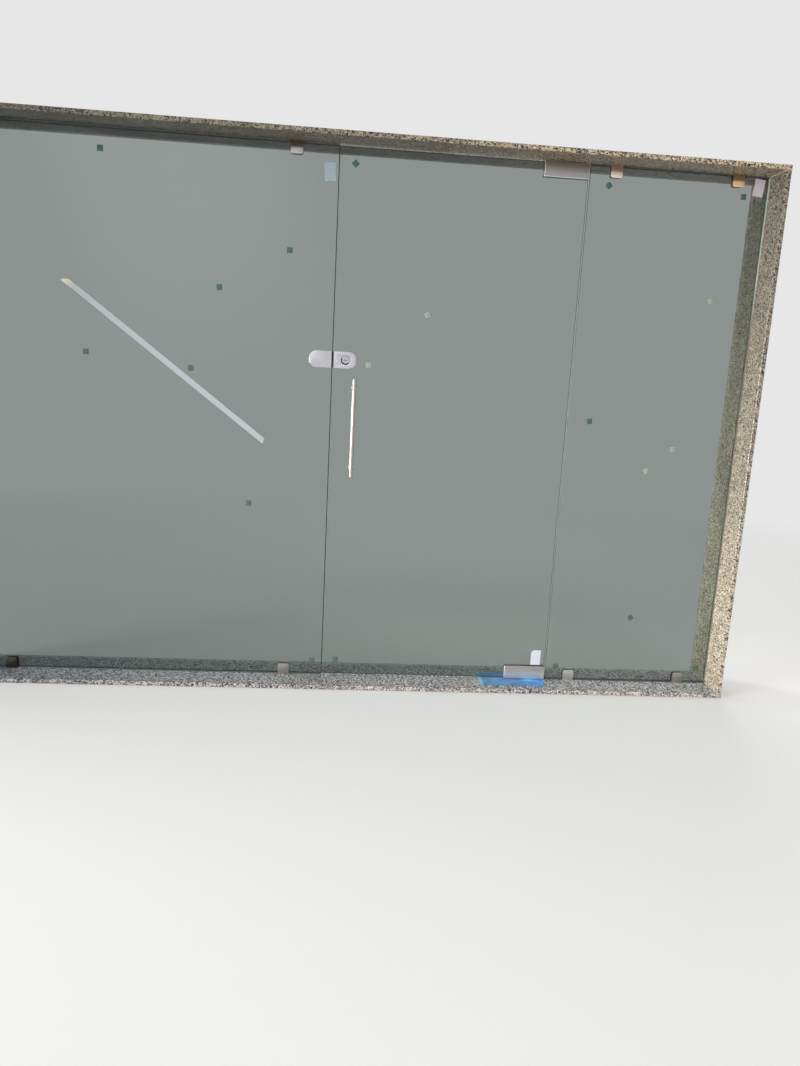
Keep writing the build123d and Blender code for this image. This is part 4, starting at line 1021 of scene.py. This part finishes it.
class PARTITION_OT_sheets(bpy.types.Operator):
    """Finish the film, labels, strip and pads"""
    bl_idname = "partition.sheets"
    bl_label = "Film, labels, strip and pads"

    def execute(self, context):
        sheets = context.scene.partition_sheets
        self.make_film(sheets)
        self.make_labels(sheets)
        self.make_strip(sheets)
        self.make_pads(sheets)
        return {"FINISHED"}

    def make_film(self, sheets):
        """Film on the cover plate: folded over at the left, wrinkled, bunched up before the patch."""
        low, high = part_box("cover_film")
        film = copy_of("cover_film", "blue_film")
        edit(film)
        pick(film, "polygons", lambda face: face.normal.z < 0.3)
        bpy.ops.mesh.delete(type="FACE")
        pitch = 2.5 * MM
        slice_up(Vector(low), X_AXIS, pitch, high.x - low.x - MM)
        slice_up(Vector(low), Y_AXIS, pitch, high.y - low.y - MM)
        self.fold_over(film, low, sheets.film_fold)
        done()
        self.draw_in(film, low, high, sheets.film_narrowing)
        self.close_round_spindle(film)
        self.wrinkle(film, sheets)
        thicken(film, thickness=0.25 * MM, offset=1.0)
        finish_piece(film, blue_film("blue_film"), "cover_film")

    def fold_over(self, film, low, width):
        """Turns the film's left edge up and back over itself."""
        pick(film, "edges", lambda edge: all(
            film.data.vertices[index].co.x < low.x + 0.1 * MM for index in edge.vertices))
        for move in ((-0.5 * MM, 0.0, 0.7 * MM), (width / 2, 0.0, 0.6 * MM), (width / 2, 0.0, -0.3 * MM)):
            bpy.ops.mesh.extrude_region_move(TRANSFORM_OT_translate={"value": move})

    def draw_in(self, film, low, high, narrowing):
        """Pulls the film's front corners in, and its whole right end in front of the glass."""
        cover_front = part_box("floor_spring_cover")[0].y
        left_pull = 9 * MM
        right_pull = 10 * MM
        glass_front = 12 * MM
        blend = 15 * MM
        for vertex in film.data.vertices:
            forward = max(0.0, (cover_front - vertex.co.y) / (cover_front - low.y))
            sideways = (vertex.co.x - low.x) / (high.x - low.x)
            before = min(1.0, max(0.0, (-vertex.co.y - glass_front) / blend))
            pull = narrowing * before + right_pull * forward
            vertex.co.x += forward * left_pull * (1.0 - sideways) - pull * sideways

    def close_round_spindle(self, film):
        """Draws the film in round the spindle, so that its hole stays under the patch."""
        low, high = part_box("floor_spring_spindle")
        centre = (low + high) / 2
        clear = (high.x - low.x) / 2 + 1.5 * MM
        reach = 30 * MM
        hole = 20 * MM
        for vertex in film.data.vertices:
            out = Vector((vertex.co.x - centre.x, vertex.co.y - centre.y))
            if out.length < reach:
                radius = clear + (out.length - hole) / (reach - hole) * (reach - clear)
                out = out.normalized() * max(radius, clear)
                vertex.co.x, vertex.co.y = centre.x + out.x, centre.y + out.y

    def wrinkle(self, film, sheets):
        """Long creases along the film, and a bunch of sharp folds in front of the patch."""
        patch_low, patch_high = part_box("bottom_patch_outer_cover")
        depth = 15 * MM
        width = 44 * MM
        bunch = Vector((patch_low.x * 0.3 + patch_high.x * 0.7, patch_low.y - depth, 0.0))
        for vertex in film.data.vertices:
            x, y = vertex.co.x, vertex.co.y
            long_crease = 1.0 - abs(noise.noise(Vector((x * 16.0, y * 85.0, 3.0)))) * 2.6
            short_crease = abs(noise.noise(Vector((x * 70.0, y * 110.0, 9.0))))
            off = Vector(((x - bunch.x) / width, (y - bunch.y) / depth))
            near = max(0.0, 1.0 - off.length ** 2)
            sharp = 1.0 - abs(noise.noise(Vector((x * 60.0, y * 150.0, 5.0)))) * 2.0
            rise = max(0.0, long_crease) ** 2 * sheets.film_wrinkle + short_crease * 0.4 * MM
            vertex.co.z += min(rise + near * max(0.0, sharp) * sheets.film_bunch, sheets.film_bunch)

    def make_labels(self, sheets):
        """Blank labels, a little crumpled, the two on the fixed panes turned."""
        # The pane labels' tones are painted shade
        tones = {"pane_labels": (sheets.paper_dull[:], sheets.paper_aged[:]),
                 "door_label": (sheets.paper[:], sheets.paper[:])}
        for node, (tone, right_tone) in tones.items():
            label = front_sheet(node, node + "_crumpled")
            low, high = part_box(node)
            pitch = 5 * MM
            slice_up(Vector(low), X_AXIS, pitch, high.x - low.x)
            slice_up(Vector(low), Z_AXIS, pitch, high.z - low.z)
            done()
            if node == "pane_labels":
                self.turn_label(label, -1, sheets.wide_label_turn)
                self.turn_label(label, 1, sheets.narrow_label_turn)
            ruffle(label, node + "_folds", height=-sheets.label_crumple, width=17 * MM, middle=0.15)
            thicken(label, thickness=0.2 * MM, offset=0.0)
            finish_piece(label, paper(node + "_paper", tone, right_tone), node)

    def turn_label(self, label, side, amount):
        """Turns the label at one side of the object about its own middle, flat on the glass."""
        points = [vertex for vertex in label.data.vertices if vertex.co.x * side > 0.0]
        middle = sum((vertex.co for vertex in points), Vector()) / len(points)
        turn = Matrix.Rotation(-amount, 3, "Y")
        for vertex in points:
            vertex.co = middle + turn @ (vertex.co - middle)

    def make_strip(self, sheets):
        """Strip on the glass, its pointed upper end curling off."""
        strip = front_sheet("adhesive_strip", "adhesive_strip_curled")
        points = [vertex.co.copy() for vertex in strip.data.vertices]
        high_end = min(points, key=lambda point: point.x)
        low_end = min(points, key=lambda point: point.z)
        along = (low_end - high_end).normalized()
        across = Vector((-along.z, 0.0, along.x))
        width = max((point - high_end).dot(across) for point in points)
        pitch = 6 * MM
        reach = (low_end - high_end).length
        slice_up(high_end, along, pitch, reach)
        slice_up(high_end, across, width / 6, width * 0.9)
        steps = int(sheets.strip_loose / pitch)
        rise = 2 * sheets.strip_curl / steps / (steps + 1)
        for step in range(steps):
            limit = sheets.strip_loose - step * pitch
            pick(strip, "vertices", lambda vertex: (vertex.co - high_end).dot(along) < limit)
            bpy.ops.transform.translate(value=(0.0, -rise * (step + 1), 0.0))
        done()
        ruffle(strip, "strip_waves", height=-0.7 * MM, width=40 * MM, middle=0.2)
        thicken(strip, thickness=0.3 * MM, offset=0.0)
        middle = across * width / 2
        face = strip_paper("strip_face", low_end + middle, high_end + middle, width / 2)
        finish_piece(strip, face, "adhesive_strip")

    def make_pads(self, sheets):
        """Foam pads. Some on the door and the narrow pane have kept their pale backing."""
        dark = foam("dark_foam", sheets.pad[:])
        low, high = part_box("door_pane")
        far_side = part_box("right_pane")[1].x
        z_high = high.z - sheets.backed_drop
        backed_pads = (
            ("door_pads", foam("worn_foam", sheets.pad_worn[:]), sheets.backed_door, low.x, high.x),
            ("pane_pads", foam("pale_foam", sheets.pad_pale[:]), sheets.backed_pane,
             high.x + sheets.backed_side, far_side),
        )
        for node, pale, height, x_low, x_high in backed_pads:
            z_low = low.z + height
            pads = copy_of(node, node + "_dark")
            edit(pads)
            pick(pads, "polygons", lambda face: z_low < face.center.z < z_high
                 and x_low < face.center.x < x_high)
            bpy.ops.mesh.separate(type="SELECTED")
            done()
            backed = next(piece for piece in bpy.context.selected_objects if piece is not pads)
            backed.name = node + "_pale"
            for piece, material in ((pads, dark), (backed, pale)):
                soften(piece, radius=0.5 * MM)
                finish_piece(piece, material, node)


class PARTITION_OT_stage(bpy.types.Operator):
    """Set the floor, the lights, the background and the camera"""
    bl_idname = "partition.stage"
    bl_label = "Stage"

    def execute(self, context):
        stage = context.scene.partition_stage
        self.lay_floor(stage)
        self.set_background(stage)
        self.hang_light("key", stage.key_power, where=(0.5, -5.2, 2.2), target=(0.0, 0.0, 0.9),
                        size=(5.0, 3.2), glossy=False)
        self.stand_card(stage)
        self.hang_light("side", stage.side_power, where=(-4.6, -3.0, 0.7), target=(1.5, 0.0, 0.4),
                        size=(2.4, 1.4), spread=stage.side_spread)
        self.hang_light("back", stage.back_power, where=(1.2, 3.6, 4.6), target=(0.0, 0.0, 0.8),
                        size=(4.0, 2.0))
        self.hang_light("inside", stage.inside_power, where=(-1.3, 1.5, 1.25), target=(1.5, 0.05, 1.1),
                        size=(0.8, 1.6), spread=stage.inside_spread, glossy=False)
        self.place_camera(stage)
        context.scene.view_settings.view_transform = "Standard"
        return {"FINISHED"}

    def lay_floor(self, stage):
        """Pale floor that keeps the object's shadow and goes over into the white background."""
        bpy.ops.object.select_all(action="DESELECT")
        below_object = (0.0, 0.0, -0.2 * MM)
        bpy.ops.mesh.primitive_plane_add(size=120.0, location=below_object)
        floor = bpy.context.active_object
        floor.name = "floor"
        make = Finish("pale_floor")
        seen = self.seen(make.tree)
        make.set(base_color=make.mix(seen, stage.floor_bounce[:], stage.floor[:]), roughness=0.9,
                 specular_ior_level=0.1)
        far = make.between(make.radius((0.0, 0.0, 0.0), (0.62, 1.0, 0.0)), stage.clear_radius * 0.25,
                           stage.clear_radius)
        white = make.add("ShaderNodeEmission", {"Strength": stage.backdrop})
        make.show(make.math("MULTIPLY", far, seen), make.shader.outputs["BSDF"], white.outputs["Emission"])
        floor.data.materials.append(make.material)

    def seen(self, tree):
        """1 for rays from the camera, glass and metal, 0 for those that only light the object."""
        rays = tree.nodes.new("ShaderNodeLightPath")
        seen = rays.outputs["Is Camera Ray"]
        for kind in ("Is Glossy Ray", "Is Transmission Ray"):
            either = tree.nodes.new("ShaderNodeMath")
            either.operation = "MAXIMUM"
            tree.links.new(seen, either.inputs[0])
            tree.links.new(rays.outputs[kind], either.inputs[1])
            seen = either.outputs[0]
        return seen

    def set_background(self, stage):
        """Pale background, with a weaker light from it on the object."""
        world = bpy.data.worlds.new("studio")
        bpy.context.scene.world = world
        world.use_nodes = True
        tree = world.node_tree
        background = tree.nodes["Background"]
        background.inputs["Color"].default_value = (*WHITE, 1.0)
        level = tree.nodes.new("ShaderNodeMapRange")
        level.inputs["To Min"].default_value = stage.ambient
        level.inputs["To Max"].default_value = stage.backdrop
        tree.links.new(self.seen(tree), level.inputs["Value"])
        tree.links.new(level.outputs["Result"], background.inputs["Strength"])

    def hang_light(self, name, energy, where, target, size, spread=math.pi, glossy=True):
        """A soft lamp aimed at a point, unseen by the camera. Unless glossy, metal doesn't show it."""
        lamp = bpy.data.lights.new(name, "AREA")
        lamp.shape = "RECTANGLE"
        lamp.size, lamp.size_y = size
        lamp.energy = energy
        lamp.spread = spread
        light = bpy.data.objects.new(name, lamp)
        bpy.context.scene.collection.objects.link(light)
        light.location = where
        light.rotation_euler = (Vector(target) - Vector(where)).to_track_quat("-Z", "Y").to_euler()
        light.visible_camera = False
        light.visible_transmission = False
        light.visible_glossy = glossy

    def stand_card(self, stage):
        """A tall soft card behind the camera. Only reflections show it, as a slanting sheen."""
        bpy.ops.object.select_all(action="DESELECT")
        place = (-1.5, -6.0, 2.2)
        slant = (math.radians(90.0), math.radians(-20.0), 0.0)
        bpy.ops.mesh.primitive_plane_add(size=1.0, location=place, rotation=slant)
        card = bpy.context.active_object
        card.name = "sheen_card"
        card.scale = (3.0, 7.0, 1.0)
        make = Finish("sheen_card")
        across = make.math("MULTIPLY", make.axis("X"), 2.0)
        bell = make.math("SUBTRACT", 1.0, make.math("MULTIPLY", across, across))
        above = make.between(make.axis("Y"), -0.2, 0.1)
        level = make.math("MULTIPLY", make.math("MULTIPLY", bell, above), stage.sheen)
        glow = make.add("ShaderNodeEmission", {"Strength": make.math("ADD", level, stage.backdrop)})
        make.link(glow.outputs["Emission"], make.output.inputs["Surface"])
        card.data.materials.append(make.material)
        for kind in ("camera", "diffuse", "transmission", "volume_scatter", "shadow"):
            setattr(card, "visible_" + kind, False)

    def place_camera(self, stage):
        """The photograph's camera: a level aim turned by yaw, pitch and roll."""
        lens = bpy.data.cameras.new("camera")
        camera = bpy.data.objects.new("camera", lens)
        bpy.context.scene.collection.objects.link(camera)
        photo_height = 1066.0
        lens.sensor_width = 36.0
        lens.lens = stage.focal_pixels / photo_height * lens.sensor_width
        forward = Vector((math.sin(stage.yaw) * math.cos(stage.pitch),
                          math.cos(stage.yaw) * math.cos(stage.pitch), -math.sin(stage.pitch)))
        level = Vector((math.cos(stage.yaw), -math.sin(stage.yaw), 0.0))
        upward = level.cross(forward)
        right = level * math.cos(stage.roll) + upward * math.sin(stage.roll)
        top = upward * math.cos(stage.roll) - level * math.sin(stage.roll)
        turn = Matrix((right, top, -forward)).transposed()
        camera.matrix_world = Matrix.Translation(Vector(stage.eye)) @ turn.to_4x4()
        bpy.context.scene.camera = camera


class PARTITION_PT_panel(bpy.types.Panel):
    """Lists the partition's finishes in the order in which they are made"""
    bl_idname = "PARTITION_PT_panel"
    bl_label = "Glass partition"
    bl_space_type = "VIEW_3D"
    bl_region_type = "UI"
    bl_category = "Partition"

    def draw(self, context):
        for operator in OPERATORS:
            self.layout.operator(operator.bl_idname)


OPERATORS = (
    PARTITION_OT_stone,
    PARTITION_OT_glass,
    PARTITION_OT_hardware,
    PARTITION_OT_sheets,
    PARTITION_OT_stage,
)


def register():
    for group in SETTINGS.values():
        bpy.utils.register_class(group)
    for name, group in SETTINGS.items():
        setattr(bpy.types.Scene, name, PointerProperty(type=group))
    for operator in OPERATORS:
        bpy.utils.register_class(operator)
    bpy.utils.register_class(PARTITION_PT_panel)


def unregister():
    bpy.utils.unregister_class(PARTITION_PT_panel)
    for operator in reversed(OPERATORS):
        bpy.utils.unregister_class(operator)
    for name, group in SETTINGS.items():
        delattr(bpy.types.Scene, name)
        bpy.utils.unregister_class(group)


def main():
    register()
    bpy.ops.partition.stone()
    bpy.ops.partition.glass()
    bpy.ops.partition.hardware()
    bpy.ops.partition.sheets()
    bpy.ops.partition.stage()


if __name__ == "__main__":
    main()
